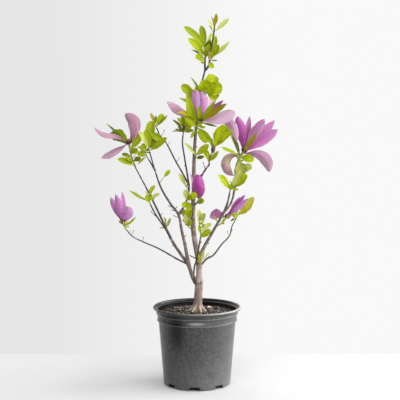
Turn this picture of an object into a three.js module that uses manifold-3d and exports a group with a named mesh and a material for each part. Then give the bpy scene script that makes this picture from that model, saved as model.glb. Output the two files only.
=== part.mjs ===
// A young pink magnolia, about a metre tall, growing in a black nursery pot.
// Millimetres, +Z up, origin under the middle of the pot.
// Every limb is one tapering solid. Every spray of leaves or flowers is one solid too:
// a stem, its twigs and its blades, fused together and kept clear of the wood it grows from.

import * as THREE from 'three';
import { mergeVertices } from 'three/addons/utils/BufferGeometryUtils.js';
import Module from 'manifold-3d';

const wasm = await Module();
wasm.setup();

// ---------------------------------------------------------------- driving dimensions

const GAP = 0.3;                  // running clearance between neighbouring solids

const POT_HEIGHT = 205;
const POT_TURNS = 36;             // facets round the pot and the soil
const RIM_RADIUS = 114.5;
const RIM_ROLL = 3.2;             // radius of the rolled edge
const RIM_FLANGE = 12.5;          // height at which the flange leaves the collar
const COLLAR_RADIUS = 104.5;      // wall just under the rim
const COLLAR_DROP = 19;           // depth of the collar below the top of the rim
const BAND_RADIUS = 102.5;        // second, lower band
const BAND_DROP = 18;             // depth of the band below the collar
const FLARE_OUT = 0.8;            // collar and band each widen this much going up
const BODY_RADIUS = 100;          // plain wall under the bands
const FOOT_RADIUS = 87;
const FOOT_ROUND = 6;             // rounding where the wall turns under
const WALL = 2.6;
const NOTCHES = 8;                // drainage notches cut through the foot of the wall
const NOTCH_HEIGHT = 10.7;
const NOTCH_WIDTH = 31;
const NOTCH_DEPTH = 12;
const NOTCH_NARROWS = 0.8;        // width at the top of a notch, as a share of that at the foot
const NOTCH_TURN = -4;            // degrees that the front notch sits off the middle

const SOIL_LEVEL = 192;
const SOIL_CROWN = 25;            // flat patch of soil round the trunk
const SOIL_DIP = 4;               // how far the soil falls towards the wall

const FLARE_HEIGHT = 9;           // how quickly the root flare dies out going up
const FLARE_WIDEN = 0.22;
const TOE_REACH = 0.75;           // how far the root toes stand out, as a share of the radius
const TOES = 5;
const TOE_TURN = 0.8;             // radians that the first toe sits off the right
const SCAR_LEVEL = 268;           // pruning scar on the right of the trunk
const SCAR_SWELL = 0.22;
const SCAR_HEIGHT = 7;
const FORK_LEVEL = 282;           // below its first fork the trunk is stouter
const FORK_BLEND = 12;
const STUMP_WIDEN = 0.17;
const TRUNK_SIDES = 15;
const TRUNK_STEPS = 34;
const TRUNK_PACE = 1.4;           // stretches are shorter towards the foot

const STOUT = 3.2;                // limbs thicker than this at the foot get more sides
const LIMB_STEP = 24;             // length of a limb's straight stretches
const SHOOT_STEP = 20;            // the same for the stem of a spray
const SPUR_THICK = [1.5, 0.7];

const LEAF_THICK = 0.9;
const TEPAL_THICK = 1.3;
const LEAF_CUP = 0.22;            // how far a leaf's edges rise, as a share of its half width
const TEPAL_CUP = 0.34;
const STALK_HALF_WIDTH = 0.9;
const TEPAL_SEAT = 2.6;           // how far a tepal's root stands off the middle of the flower
const TURN_PER_STRETCH = 45;      // a blade that bends sideways more than this gets more stretches

const GOLDEN_ANGLE = 137.5;
const SPRIG_LEAN = 34;            // widest lean of a sprig to either side
const SPRIG_FRONT = 62;           // widest turn of a sprig to the front or back
const SPRIG_SPREAD = 60;          // angle between a sprig's two leaves
const SPRIG_SLIM = 0.36;          // a sprig leaf's width as a share of its length
const SPRIG_THICK = [1.1, 0.9];

// Half width along a blade, from its root (0) to its tip (1), as a share of the widest.
const LEAF_OUTLINE = [[0, 0], [0.26, 0.4], [0.66, 1], [1, 0]];
const SMALL_LEAF_OUTLINE = [[0, 0], [0.56, 1], [1, 0]];
const SMALL_LEAF = 32;            // leaves shorter than this take the plainer outline
const TEPAL_OUTLINE = [[0, 0], [0.34, 0.5], [0.68, 1], [0.9, 0.8], [1, 0]];

// ---------------------------------------------------------------- wood
// path: where the middle of the limb runs; thick: its radius at the foot and at the tip;
// spurs: short bare pegs as [how far along, lean, towards the front, length].

const LIMBS = {
  trunk: {
    path: [[1, 0, 186], [2, 0, 215], [4, 0, 249], [5, 0, 278], [4, 1, 320], [-7, 3, 382], [-11, 4, 431],
      [-9, 4, 500], [-8, 4, 575], [-4, 5, 650], [4, 8, 725], [10, 8, 770], [20, 5, 813]],
    thick: [9, 2.3], spurs: [[0.87, -70, 20, 7]],
  },
  left_bough: {
    path: [[3, 0, 258], [-9, -2, 275], [-22, 2, 310], [-32, 6, 325], [-60, 18, 364], [-80, 30, 402],
      [-108, 44, 459], [-128, 52, 498], [-161, 62, 559]],
    thick: [6.9, 2.1], spurs: [[0.83, -35, 20, 15], [0.6, 60, 30, 9], [0.34, -80, 20, 9]],
  },
  right_bough: {
    path: [[4, 0, 314], [11, -4, 344], [31, -10, 384], [50, -16, 418], [66, -20, 447], [77, -22, 474],
      [83, -22, 500]],
    thick: [5.3, 2.4], spurs: [[0.3, 115, 30, 8], [0.72, -30, 20, 7]],
  },
  mid_left_bough: {
    path: [[-20, 1, 305], [-26, -6, 336], [-31, -18, 367], [-39, -32, 405], [-47, -46, 448], [-67, -60, 478],
      [-90, -78, 520], [-105, -95, 567], [-118, -106, 615]],
    thick: [5.6, 1.8],
    spurs: [[0.42, -75, 30, 17], [0.26, 70, 20, 9], [0.44, 55, 20, 12], [0.48, -85, 10, 12], [0.5, 50, 25, 9],
      [0.52, -80, 15, 12]],
  },
  low_left_branch: {
    path: [[-24, 2, 314], [-33, -4, 319], [-53, -16, 331], [-97, -44, 361], [-135, -64, 381],
      [-162, -78, 397], [-178, -86, 416]],
    thick: [3.1, 1.8], spurs: [[0.93, 20, 20, 8], [0.9, 35, -20, 13], [0.72, 10, 10, 11]],
  },
  low_right_branch: {
    path: [[5, 1, 304], [23, 16, 324], [43, 28, 334], [63, 44, 358], [85, 60, 380], [91, 68, 402],
      [101, 76, 420]],
    thick: [3.1, 1.7], spurs: [[0.2, 35, 30, 10], [0.72, -20, 30, 16], [0.74, 25, 20, 16]],
  },
  right_upper_branch: {
    path: [[66, -19, 448], [82, -8, 466], [89, -2, 478], [93, 4, 490]],
    thick: [3.6, 2.6], spurs: [],
  },
  upright_branch: {
    path: [[-47, -46, 449], [-31, -34, 472], [-22, -12, 500], [-22, 14, 524], [-32, 40, 584], [-38, 52, 623],
      [-36, 56, 651]],
    thick: [2.9, 1.8], spurs: [[0.62, -60, 10, 5]],
  },
  upper_left_branch: {
    path: [[-21, 8, 519], [-38, 34, 548], [-56, 58, 577], [-80, 82, 621], [-97, 92, 641], [-107, 98, 662]],
    thick: [2.4, 1.6], spurs: [[0.42, 40, 20, 14], [0.7, 40, -20, 10], [0.86, 34, 20, 19]],
  },
  inner_right_branch: {
    path: [[-9, 3, 507], [2, -22, 530], [13, -45, 550], [24, -63, 569], [31, -70, 578]],
    thick: [2.9, 2.1], spurs: [[0.6, 20, 30, 11], [0.82, -20, 20, 18]],
  },
  rear_branch: {
    path: [[-9, 4, 530], [-9, 40, 583], [-5, 82, 638], [2, 110, 690]],
    thick: [2.8, 1.8], spurs: [[0.5, 60, -30, 10], [0.7, -50, -20, 12]],
  },
  side_twig: {
    path: [[-68, 23, 376], [-82, 0, 406], [-105, -24, 445], [-119, -36, 474]],
    thick: [2.3, 1.8], spurs: [[0.66, -50, 20, 22]],
  },
  mid_left_twig: {
    path: [[-104, -94, 565], [-112, -88, 578], [-125, -78, 598]],
    thick: [1.9, 1.5], spurs: [],
  },
  centre_twig: {
    path: [[-1, -3, 262], [-8, -14, 282], [-7, -16, 308], [-1, -17, 330], [5, -20, 364], [9, -22, 387]],
    thick: [2.4, 2], spurs: [[0.86, 40, 20, 9]],
  },
  cross_twig: {
    path: [[2, 1, 327], [-7, -8, 332], [-19, -19, 340]],
    thick: [1.6, 1.2], spurs: [],
  },
};

// ---------------------------------------------------------------- leaves and flowers
// stem: where its middle runs, from inside the wood it grows on.
// leaves and tepals: [how far up the stem, lean (0 is straight up, + is to the right),
//   towards the front, length, width, roll away from facing the front, curl back, bow sideways],
//   all in degrees and millimetres. On a spray with a side shoot, 1 to 2 is along that shoot.
// heart: the flower's solid middle as [radius, length].
// sprigs: how many small leafy twigs grow round the stem by rule; leaf: their leaf length.

const SPRAYS = {
  top_leaves: {
    stem: [[19, 5, 811], [30, 2, 826], [35, -3, 859], [41, -6, 894], [45, -8, 930]], thick: [2, 1.1],
    side: [[20.5, 5, 816], [20, 11, 832], [21, 14, 851], [19, 16, 868]],
    leaves: [
      [1.98, -42, 15, 83, 24, 15, 15], [1.92, -8, -20, 70, 19, 10, 20], [1.6, -42, 30, 78, 23, 15, 20],
      [1.97, 19, -30, 50, 9, 30, 15], [1.5, -57, -20, 48, 9, 40, 15], [1.4, -62, 35, 34, 14, 20, 25],
      [1.52, 2, 40, 60, 16, 10, 20], [0.3, 3, -45, 64, 14, 10, 15], [0.37, 15, -35, 56, 15, 20, 15],
      [0.31, 33, 25, 43, 16, 25, 20], [0.29, 49, 15, 70, 9, 45, 15], [0.83, -28, 30, 45, 7, 40, 15],
      [0.83, 47, -15, 53, 11, 40, 10], [0.93, 8, 25, 38, 11, 0, 10], [0.9, -18, -20, 32, 5, 40, 10],
      [0.23, 170, 30, 18, 11, 20, 10], [0.24, 10, 40, 32, 11, 20, 10],
    ],
    sprigs: 2, leaf: 28, seed: 11,
  },
  crown_leaves_right: {
    stem: [[6.5, 7, 739], [16, -9, 750], [23, -15, 766]], thick: [1.8, 1.2],
    leaves: [
      [0.44, 13, 20, 49, 26, 15, 20], [0.63, 38, -12, 56, 25, 15, 15], [0.82, 86, 15, 47, 26, 25, 25, 25],
      [0.31, 31, 50, 38, 11, 20, 20], [0.3, -29, 18, 62, 8, 45, 15], [0.92, 128, -10, 39, 20, 20, 15],
    ],
    sprigs: 2, leaf: 26, seed: 5,
  },
  crown_leaves_left: {
    stem: [[3, 9, 700], [-8, 21, 709], [-18, 26, 734]], thick: [1.8, 1.2],
    leaves: [
      [0.99, -34, 20, 51, 28, 15, 20], [0.5, -20, -20, 47, 26, 15, 15], [0.66, -57, -35, 50, 9, 30, 15],
      [0.8, 20, -50, 44, 15, 20, 15],
    ],
    sprigs: 3, leaf: 30, seed: 8,
  },
  centre_bloom: {
    stem: [[-3, 2, 657], [0, -11, 668], [6, -17, 685]], thick: [2.4, 3], heart: [5.5, 17],
    tepals: [
      [0.99, -60, 20, 98, 33, 20, 15], [0.99, -12, -30, 92, 23, 25, 10], [0.99, 2, 12, 80, 35, 0, -12],
      [0.99, 27, -30, 94, 25, 25, 12], [0.99, 49, -22, 88, 17, 25, 10], [0.99, 79, 24, 98, 33, 15, 15, 18],
      [0.95, 122, 6, 134, 24, 20, 20, 92], [0.99, 0, -66, 78, 28, 0, 15], [0.99, 62, -60, 80, 26, 10, 15],
    ],
    leaves: [
      [0.8, -67, 50, 86, 12, 35, 15], [0.46, -49, 35, 49, 18, 15, 15], [0.96, -1, 50, 66, 12, 10, 15],
      [0.96, 38, 20, 72, 12, 30, 10], [0.9, 57, 35, 100, 17, 25, -15], [0.5, 137, 25, 60, 20, 20, 25],
    ],
    sprigs: 2, leaf: 28, seed: 21,
  },
  upright_leaves: {
    stem: [[-36, 56, 649.5], [-35, 57, 661], [-38, 58, 672]], thick: [1.7, 1.2],
    leaves: [
      [0.34, -47, 25, 45, 7, 30, 10], [0.5, -25, -20, 36, 8, 20, 10], [0.6, -12, 30, 38, 8, 20, 10],
      [0.3, 6, -35, 45, 11, 20, 10], [0.22, 45, 15, 29, 11, 20, 10], [0.15, -87, 40, 38, 6, 30, 10],
      [0.8, -5, 5, 30, 9, 10, 10],
    ],
    sprigs: 3, leaf: 26, seed: 31,
  },
  upper_left_leaves: {
    stem: [[-107, 98, 660.5], [-110, 100, 667], [-112, 101, 673]], thick: [1.5, 1.1],
    leaves: [
      [0.5, -23, 20, 39, 11, 20, 15], [0.35, 26, -20, 39, 17, 15, 20], [0.3, 44, 30, 50, 5, 30, 10],
      [0.8, 1, -40, 31, 7, 30, 10],
    ],
    sprigs: 3, leaf: 28, seed: 41,
  },
  mid_left_leaves: {
    stem: [[-117.5, -105.6, 613], [-121, -108, 630], [-122, -109, 645], [-119, -110, 666]], thick: [1.7, 1.1],
    leaves: [
      [0.27, 5, 15, 65, 27, 10, 15], [0.2, 14, -35, 50, 16, 20, 10], [0.1, -28, 35, 68, 14, 25, 10],
      [0.97, 128, -15, 41, 17, 20, 15], [0.2, 57, 20, 57, 18, 25, 15],
    ],
    sprigs: 3, leaf: 28, seed: 51,
  },
  mid_left_low_leaves: {
    stem: [[-124.5, -78.3, 597], [-127, -77, 604], [-129, -76, 611]], thick: [1.4, 1],
    leaves: [[0.3, -86, 25, 23, 18, 20, 20], [0.9, -45, -30, 25, 16, 20, 15], [0.2, -133, 20, 33, 8, 30, 10]],
    sprigs: 1, leaf: 20, seed: 61,
  },
  mid_left_leaf: {
    stem: [[-94, -82.5, 532], [-88, -86, 541], [-83, -88, 548]], thick: [1.1, 0.8],
    leaves: [[0.95, 41, 10, 26, 10, 15, 10]],
    sprigs: 0, leaf: 0, seed: 1,
  },
  left_bloom: {
    stem: [[-160.4, 61.8, 558], [-172, 65, 590], [-177, 64, 621]], thick: [2, 2.8], heart: [5.5, 14],
    tepals: [
      [0.99, -65, 10, 100, 19, 30, 10, 14], [0.99, 2, 10, 85, 33, 0, 15, -44],
      [0.99, -117, 25, 80, 20, 25, 10, -10], [0.99, -4, -64, 74, 28, 0, 15], [0.97, -76, -60, 60, 22, 10, 15],
    ],
    leaves: [
      [0.88, -46, -30, 98, 12, 20, 10], [0.94, -65, -42, 64, 21, 15, 15], [0.76, 31, -25, 56, 18, 15, 15],
      [0.1, -67, 20, 52, 14, 15, 20], [0.6, 46, 30, 24, 12, 20, 15], [0.46, -82, 15, 24, 9, 30, 10],
    ],
    sprigs: 3, leaf: 30, seed: 71,
  },
  side_twig_leaves: {
    stem: [[-118.6, -35.7, 473], [-122, -37, 485], [-120, -38, 495]], thick: [1.7, 1.1],
    leaves: [
      [0.42, -60, 20, 62, 9, 30, 10, 30], [0.2, -21, 40, 33, 14, 10, 15], [0.96, 27, 15, 36, 10, 25, 10, 40],
      [0.67, 66, -30, 35, 8, 25, 15],
    ],
    sprigs: 2, leaf: 22, seed: 81,
  },
  left_bough_leaves: {
    stem: [[-79, 29, 399], [-79, 20, 408], [-80, 17, 414]], thick: [1.3, 0.9],
    leaves: [[0.6, 21, 10, 28, 8, 20, 15], [0.5, -93, 20, 20, 7, 30, 10], [0.93, -17, -15, 24, 6, 30, 10]],
    sprigs: 1, leaf: 16, seed: 91,
  },
  centre_bud: {
    stem: [[-8, 3, 466], [0, -17, 481], [3, -24, 493]], thick: [2, 3], heart: [13, 61],
    tepals: [
      [0.98, -14, 24, 64, 20, 15, -40], [0.98, 9, 20, 60, 20, -25, -40], [0.98, -2, -28, 62, 20, 20, -40],
      [0.9, -19, -26, 74, 10, 20, -10],
    ],
    leaves: [[0.4, 72, 30, 24, 13, 20, 20]],
    sprigs: 0, leaf: 0, seed: 1,
  },
  trunk_sprout_leaves: {
    stem: [[-10, 3, 403], [-24, -10, 415], [-25, -14, 434]], thick: [1.5, 1.1],
    leaves: [
      [0.94, -37, 20, 31, 13, 15, 20], [0.86, 2, 30, 48, 13, 10, 15], [0.6, -13, 50, 48, 11, 20, 15],
      [0.75, 14, -25, 32, 9, 30, 10],
    ],
    sprigs: 1, leaf: 22, seed: 101,
  },
  inner_leaves: {
    stem: [[-29, -30, 476], [-25, -41, 484], [-24, -44, 490]], thick: [1.4, 1],
    leaves: [
      [0.7, -10, 20, 32, 14, 10, 15], [0.75, 46, 45, 24, 12, 10, 15], [0.95, 54, 10, 28, 14, 20, 15],
      [0.6, -138, 40, 20, 13, 20, 15],
    ],
    sprigs: 0, leaf: 0, seed: 1,
  },
  inner_left_leaf: {
    stem: [[-21.5, 4, 508], [-28, -7, 516], [-30, -9, 520]], thick: [1.2, 0.9],
    leaves: [[0.8, -27, 15, 38, 10, 20, 15], [0.7, 29, 40, 22, 6, 20, 15]],
    sprigs: 0, leaf: 0, seed: 1,
  },
  centre_twig_leaves: {
    stem: [[9, -22, 385.5], [10, -24, 401], [8, -25, 417], [3, -26, 431]], thick: [1.8, 1],
    leaves: [
      [0.05, 49, 25, 37, 18, 15, 20], [0.38, 57, -20, 37, 10, 25, 25], [0.2, -18, 40, 36, 10, 15, 10],
      [0.94, 2, -15, 28, 11, 15, 15], [0.98, 43, 35, 29, 11, 15, 20],
    ],
    sprigs: 2, leaf: 20, seed: 111,
  },
  inner_right_leaves: {
    stem: [[30.6, -69.6, 576.6], [31, -78, 593], [37, -84, 608], [45, -88, 633]], thick: [2, 1.2],
    leaves: [
      [0.9, 38, 10, 58, 31, 10, 20], [0.97, 48, -30, 66, 9, 30, 15], [0.75, 18, 35, 61, 10, 25, 10],
      [0.2, -20, -25, 33, 13, 15, 15], [0.22, 40, 30, 38, 9, 25, 15], [0.84, -34, -40, 37, 11, 20, 15],
    ],
    sprigs: 3, leaf: 26, seed: 121,
  },
  right_bough_leaves: {
    stem: [[83, -22, 498.4], [84, -23, 506], [85, -24, 513]], thick: [2.3, 1.4],
    leaves: [[0.8, -38, 20, 52, 16, 15, 20], [0.6, 31, -35, 36, 8, 20, 15], [0.7, 5, 55, 34, 12, 20, 15]],
    sprigs: 2, leaf: 24, seed: 131,
  },
  right_bloom: {
    stem: [[92.7, 3.6, 488.8], [98, 12, 519], [101, 20, 562], [109, 22, 585], [119, 24, 603]],
    thick: [2.4, 3.4], heart: [6, 18],
    tepals: [
      [0.99, -10, 15, 97, 31, 5, -10], [0.99, 11, -20, 101, 15, 20, 5], [0.99, 33, 15, 105, 25, 20, 5],
      [0.99, 37, 28, 110, 16, 20, 0], [0.99, 45, -20, 120, 23, 15, 5], [0.97, 57, 10, 109, 29, 15, 10],
      [0.96, 128, 20, 107, 31, 10, 15, 90], [0.93, -163, 25, 108, 14, 30, 10, -175],
      [0.99, 24, -64, 88, 28, 0, 15], [0.98, 62, -60, 80, 26, 10, 15],
    ],
    leaves: [
      [0.96, 36, 48, 84, 11, 20, 10], [0.88, -64, 25, 64, 9, 30, 10], [0.85, -24, -25, 90, 9, 30, 10],
      [0.83, 176, 30, 50, 27, 15, 20], [0.86, 110, 15, 40, 24, 20, 25, 40], [0.2, 40, 20, 54, 19, 15, 15],
    ],
    sprigs: 2, leaf: 28, seed: 141,
  },
  lower_right_bloom: {
    stem: [[49, -15.6, 415], [66, 2, 422], [75, 12, 433]], thick: [1.7, 2.4], heart: [4.5, 12],
    tepals: [
      [0.98, -76, -40, 47, 31, 15, 5], [0.98, 39, 15, 81, 19, 20, -5], [0.99, 49, 25, 84, 19, 20, -5],
      [0.98, 35, -25, 69, 16, 20, 5],
    ],
    leaves: [],
    sprigs: 0, leaf: 0, seed: 1,
  },
  low_right_leaves: {
    stem: [[100.5, 75.5, 418.8], [104, 77, 426], [106, 78, 432]], thick: [1.6, 1.1],
    leaves: [[0.9, 40, 20, 69, 20, 15, 15], [0.4, -19, 30, 20, 10, 20, 15], [0.4, -122, -30, 20, 6, 20, 15]],
    sprigs: 3, leaf: 28, seed: 151,
  },
  trunk_tuft: {
    stem: [[5, -2, 313], [10, -13, 319], [11, -16, 326]], thick: [1.4, 1.1],
    leaves: [[0.9, 2, 18, 26, 11, 20, 15], [0.8, -30, 28, 24, 9, 20, 15], [0.95, 24, -8, 30, 10, 30, 15]],
    sprigs: 0, leaf: 0, seed: 1,
  },
  leader_leaves: {
    stem: [[-6, 4, 583], [-3, -8, 592], [-3, -13, 598]], thick: [1.5, 1.1],
    leaves: [[0.9, 47, 20, 49, 16, 15, 20], [0.8, -39, 15, 46, 11, 20, 15]],
    sprigs: 1, leaf: 20, seed: 161,
  },
  low_left_bloom: {
    stem: [[-177.6, -85.8, 414.8], [-181, -87, 422], [-184, -88, 430]], thick: [1.8, 2.6], heart: [6, 20],
    tepals: [
      [0.97, -24, 10, 78, 19, 20, -10], [0.97, -15, 28, 87, 18, 15, -10], [0.97, -4, -10, 82, 19, 20, -10],
      [0.97, 7, 24, 54, 22, 10, -20, -45], [0.97, -10, -22, 74, 20, 20, -10],
    ],
    leaves: [[0.5, 46, 15, 40, 6, 30, 10]],
    sprigs: 1, leaf: 18, seed: 171,
  },
  rear_leaves: {
    stem: [[1.8, 109.4, 688.6], [6, 122, 708], [8, 130, 724]], thick: [1.7, 1.2],
    leaves: [
      [0.9, -8, -30, 60, 20, 20, 15], [0.6, 44, -35, 58, 18, 30, 20], [0.5, -52, -25, 56, 18, 30, 20],
      [0.3, 70, -50, 46, 14, 20, 20], [0.75, 20, -60, 52, 16, 10, 15],
    ],
    sprigs: 4, leaf: 32, seed: 181,
  },
};

// ---------------------------------------------------------------- solids from three.js geometry

function toSolid(geometry) {
  const bare = geometry.clone();
  bare.deleteAttribute('normal');
  bare.deleteAttribute('uv');
  const merged = mergeVertices(bare, 1e-4);
  return new wasm.Manifold(new wasm.Mesh({
    numProp: 3,
    vertProperties: new Float32Array(merged.attributes.position.array),
    triVerts: new Uint32Array(merged.index.array),
  }));
}

function largestBody(solid) {
  return solid.decompose().reduce((best, body) => (body.volume() > best.volume() ? body : best));
}

function toGeometry(solid) {
  const mesh = solid.getMesh();
  const geometry = new THREE.BufferGeometry();
  geometry.setAttribute('position', new THREE.BufferAttribute(mesh.vertProperties, 3));
  geometry.setIndex(new THREE.BufferAttribute(mesh.triVerts, 1));
  geometry.computeVertexNormals();
  return geometry;
}

function addPiece(name, solid, material) {
  const mesh = new THREE.Mesh(toGeometry(largestBody(solid)), material);
  mesh.name = name;
  tree.add(mesh);
}

function nextRandom(state) {
  state.seed = (state.seed * 16807) % 2147483647;
  return state.seed / 2147483647;
}

// ---------------------------------------------------------------- limbs

function curveThrough(path) {
  const points = path.map((p) => new THREE.Vector3(...p));
  return new THREE.CatmullRomCurve3(points, false, 'catmullrom', 0.5);
}

// Direction from a lean in the plane of the front view and a turn towards the front.
function heading(lean, front) {
  const a = THREE.MathUtils.degToRad(lean);
  const b = THREE.MathUtils.degToRad(front);
  return new THREE.Vector3(Math.sin(a) * Math.cos(b), -Math.sin(b), Math.cos(a) * Math.cos(b));
}

// A cylinder of unit radius, bent along a curve and given a radius at each step and bearing.
function bentCylinder(curve, sides, steps, radiusAt, pace = 1) {
  const shape = new THREE.CylinderGeometry(1, 1, 1, sides, steps);
  const frames = curve.computeFrenetFrames(steps);
  const position = shape.attributes.position;
  const point = new THREE.Vector3();
  for (let i = 0; i < position.count; i += 1) {
    const along = (Math.round((position.getY(i) + 0.5) * steps) / steps) ** pace;
    const frame = Math.round(along * steps);
    const radius = radiusAt(along, Math.atan2(position.getZ(i), position.getX(i)));
    curve.getPointAt(along, point);
    point.addScaledVector(frames.binormals[frame], position.getX(i) * radius);
    point.addScaledVector(frames.normals[frame], position.getZ(i) * radius);
    position.setXYZ(i, point.x, point.y, point.z);
  }
  return shape;
}

function extended(path, by) {
  const ends = [[path[0], path[1]], [path.at(-1), path.at(-2)]];
  const [first, last] = ends.map(([end, next]) => {
    const away = new THREE.Vector3(...end).sub(new THREE.Vector3(...next)).setLength(by);
    return new THREE.Vector3(...end).add(away).toArray();
  });
  return [first, ...path.slice(1, -1), last];
}

const tapered = ([foot, tip], grow = 0) => (along) => foot + (tip - foot) * along + grow;

function limbSolid(limb, grow = 0) {
  const curve = curveThrough(grow > 0 ? extended(limb.path, grow) : limb.path);
  const steps = Math.max(4, Math.ceil(curve.getLength() / LIMB_STEP));
  const sides = limb.thick[0] > STOUT ? 7 : 5;
  return toSolid(bentCylinder(curve, sides, steps, tapered(limb.thick, grow)));
}

// The trunk is stouter below its first fork, swells at the scar and spreads into root toes.
function trunkSolid(limb, grow = 0) {
  const curve = curveThrough(grow > 0 ? extended(limb.path, grow) : limb.path);
  const [foot, tip] = limb.thick;
  const radiusAt = (along, bearing) => {
    const level = curve.getPointAt(along).z;
    const below = THREE.MathUtils.smoothstep(FORK_LEVEL - level, -FORK_BLEND, FORK_BLEND);
    const stem = (tip + (foot - tip) * (1 - along)) * (1 + STUMP_WIDEN * below);
    const flare = Math.exp(-Math.max(0, level - SOIL_LEVEL) / FLARE_HEIGHT);
    const toes = TOE_REACH * Math.max(0, Math.cos(TOES * bearing + TOE_TURN));
    const scarFace = Math.max(0, Math.cos(bearing));
    const scar = SCAR_SWELL * scarFace * Math.exp(-(((level - SCAR_LEVEL) / SCAR_HEIGHT) ** 2));
    return stem * (1 + flare * (FLARE_WIDEN + toes) + scar) + grow;
  };
  const solid = toSolid(bentCylinder(curve, TRUNK_SIDES, TRUNK_STEPS, radiusAt, TRUNK_PACE));
  return solid.trimByPlane([0, 0, 1], SOIL_LEVEL + GAP - grow);
}

function spurSolid(limb, [along, lean, front, length]) {
  const root = curveThrough(limb.path).getPointAt(along);
  const tip = root.clone().addScaledVector(heading(lean, front), length);
  const curve = new THREE.LineCurve3(root, tip);
  return toSolid(bentCylinder(curve, 3, 1, tapered(SPUR_THICK)));
}

// ---------------------------------------------------------------- blades

const FACE = new THREE.Vector3(0, -1, 0.4).normalize();

function widthAt(outline, s) {
  const i = outline.findIndex(([at]) => at >= s);
  if (i <= 0) return outline[0][1];
  const [[s0, w0], [s1, w1]] = [outline[i - 1], outline[i]];
  return w0 + (w1 - w0) * ((s - s0) / (s1 - s0));
}

// Points and frames along a blade's middle. Its chord runs along the heading.
function bladeLine(root, direction, blade, stations) {
  const [, , , length, , roll = 0, curl = 0, bow = 0] = blade;
  const turn = THREE.MathUtils.degToRad;
  const tangent = direction.clone();
  const normal = FACE.clone().addScaledVector(direction, -FACE.dot(direction)).normalize();
  normal.applyAxisAngle(direction, turn(roll));
  const side = new THREE.Vector3().crossVectors(tangent, normal);
  const steps = 24;
  const rotate = (part) => {
    tangent.applyAxisAngle(side, turn(-curl * part));
    normal.applyAxisAngle(side, turn(-curl * part));
    tangent.applyAxisAngle(normal, turn(-bow * part));
    side.crossVectors(tangent, normal);
  };
  // The bend is gathered towards the middle of the blade, and the shares add up to one.
  const share = (i) => (2 / steps) * Math.sin((Math.PI * (i + 0.5)) / steps) ** 2;
  rotate(-0.5);
  const line = [];
  const point = root.clone();
  for (let i = 0, next = 0; i <= steps; i += 1) {
    while (next < stations.length && stations[next] <= i / steps + 1e-9) {
      line.push({ s: stations[next], point: point.clone(), side: side.clone(), normal: normal.clone() });
      next += 1;
    }
    point.addScaledVector(tangent, length / steps);
    rotate(share(i));
  }
  return line;
}

// A four-sided cone flattened into a blade: two sharp edges, a raised back and a hollow face.
function bladeSolid(line, outline, width, thick, cup) {
  const steps = line.length - 1;
  const shape = new THREE.ConeGeometry(1, 1, 4, steps);
  const position = shape.attributes.position;
  for (let i = 0; i < position.count; i += 1) {
    const step = Math.round((position.getY(i) + 0.5) * steps);
    const shrink = step < steps ? 1 - step / steps : 1;
    const across = position.getX(i) / shrink;
    const through = position.getZ(i) / shrink;
    const { s, point, side, normal } = line[step];
    const half = step < steps ? Math.max(STALK_HALF_WIDTH, widthAt(outline, s) * width / 2) : 0;
    const rim = cup * half * Math.abs(across);
    const p = point.clone().addScaledVector(side, across * half);
    p.addScaledVector(normal, rim + (step < steps ? through * thick / 2 : 0));
    position.setXYZ(i, p.x, p.y, p.z);
  }
  return toSolid(shape);
}

// More stations between the outline's own, for a blade that bends sideways a long way.
function refined(outline, bow) {
  const parts = 1 + Math.floor(Math.abs(bow) / TURN_PER_STRETCH);
  return outline.flatMap(([s1, w1], i) => {
    if (i === 0) return [[s1, w1]];
    const [s0, w0] = outline[i - 1];
    return Array.from({ length: parts }, (_, k) => {
      const share = (k + 1) / parts;
      return [s0 + (s1 - s0) * share, w0 + (w1 - w0) * share];
    });
  });
}

function bladeOf(blade, kind, root) {
  const [, lean, front, length, width, , , bow = 0] = blade;
  const tepal = kind === 'tepal';
  const leafOutline = length < SMALL_LEAF ? SMALL_LEAF_OUTLINE : LEAF_OUTLINE;
  const outline = refined(tepal ? TEPAL_OUTLINE : leafOutline, bow);
  const shaped = [...blade];
  // A tepal in front of the flower's middle shows its back, one behind shows its face.
  if (tepal) shaped[6] = (blade[6] ?? 0) * (front > 0 ? -1 : 1);
  const line = bladeLine(root, heading(lean, front), shaped, outline.map(([s]) => s));
  const cup = tepal ? TEPAL_CUP * (front > 0 ? -1 : 1) : LEAF_CUP;
  return { line, outline, width, thick: tepal ? TEPAL_THICK : LEAF_THICK, cup };
}

// ---------------------------------------------------------------- sprays

const shootsOf = (spray) => [spray.stem, spray.side].filter(Boolean).map(curveThrough);

function rootOf(shoots, along) {
  const shoot = Math.min(Math.floor(along), shoots.length - 1);
  return shoots[shoot].getPointAt(along - shoot);
}

// A tepal is seated off the flower's middle, on the side that it leans to.
function seatOf(shoots, [along, lean, front]) {
  const axis = shoots[0].getTangentAt(1);
  const aside = heading(lean, front);
  aside.addScaledVector(axis, -aside.dot(axis));
  return rootOf(shoots, along).addScaledVector(axis, TEPAL_SEAT).addScaledVector(aside, TEPAL_SEAT);
}

function setBlades(spray) {
  const shoots = shootsOf(spray);
  const leaves = spray.leaves.map((blade) => bladeOf(blade, 'leaf', rootOf(shoots, blade[0])));
  const tepals = (spray.tepals ?? []).map((blade) => bladeOf(blade, 'tepal', seatOf(shoots, blade)));
  return [...leaves, ...tepals];
}

// Round balls along a blade stand for the room that it takes up.
const roomOf = (blade) => blade.line.slice(1).map(({ point, s }) => ({
  point, radius: 1 + widthAt(blade.outline, s) * blade.width / 2,
}));

const woodRoom = Object.values(LIMBS).flatMap((limb) => {
  const curve = curveThrough(limb.path);
  const balls = Math.ceil(curve.getLength() / 6);
  return Array.from({ length: balls + 1 }, (_, i) => ({
    point: curve.getPointAt(i / balls), radius: limb.thick[0] + (limb.thick[1] - limb.thick[0]) * i / balls,
  }));
});

const meets = (balls, others, margin) => balls.some((a) => others.some(
  (b) => a.point.distanceTo(b.point) < a.radius + b.radius + margin,
));

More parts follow.
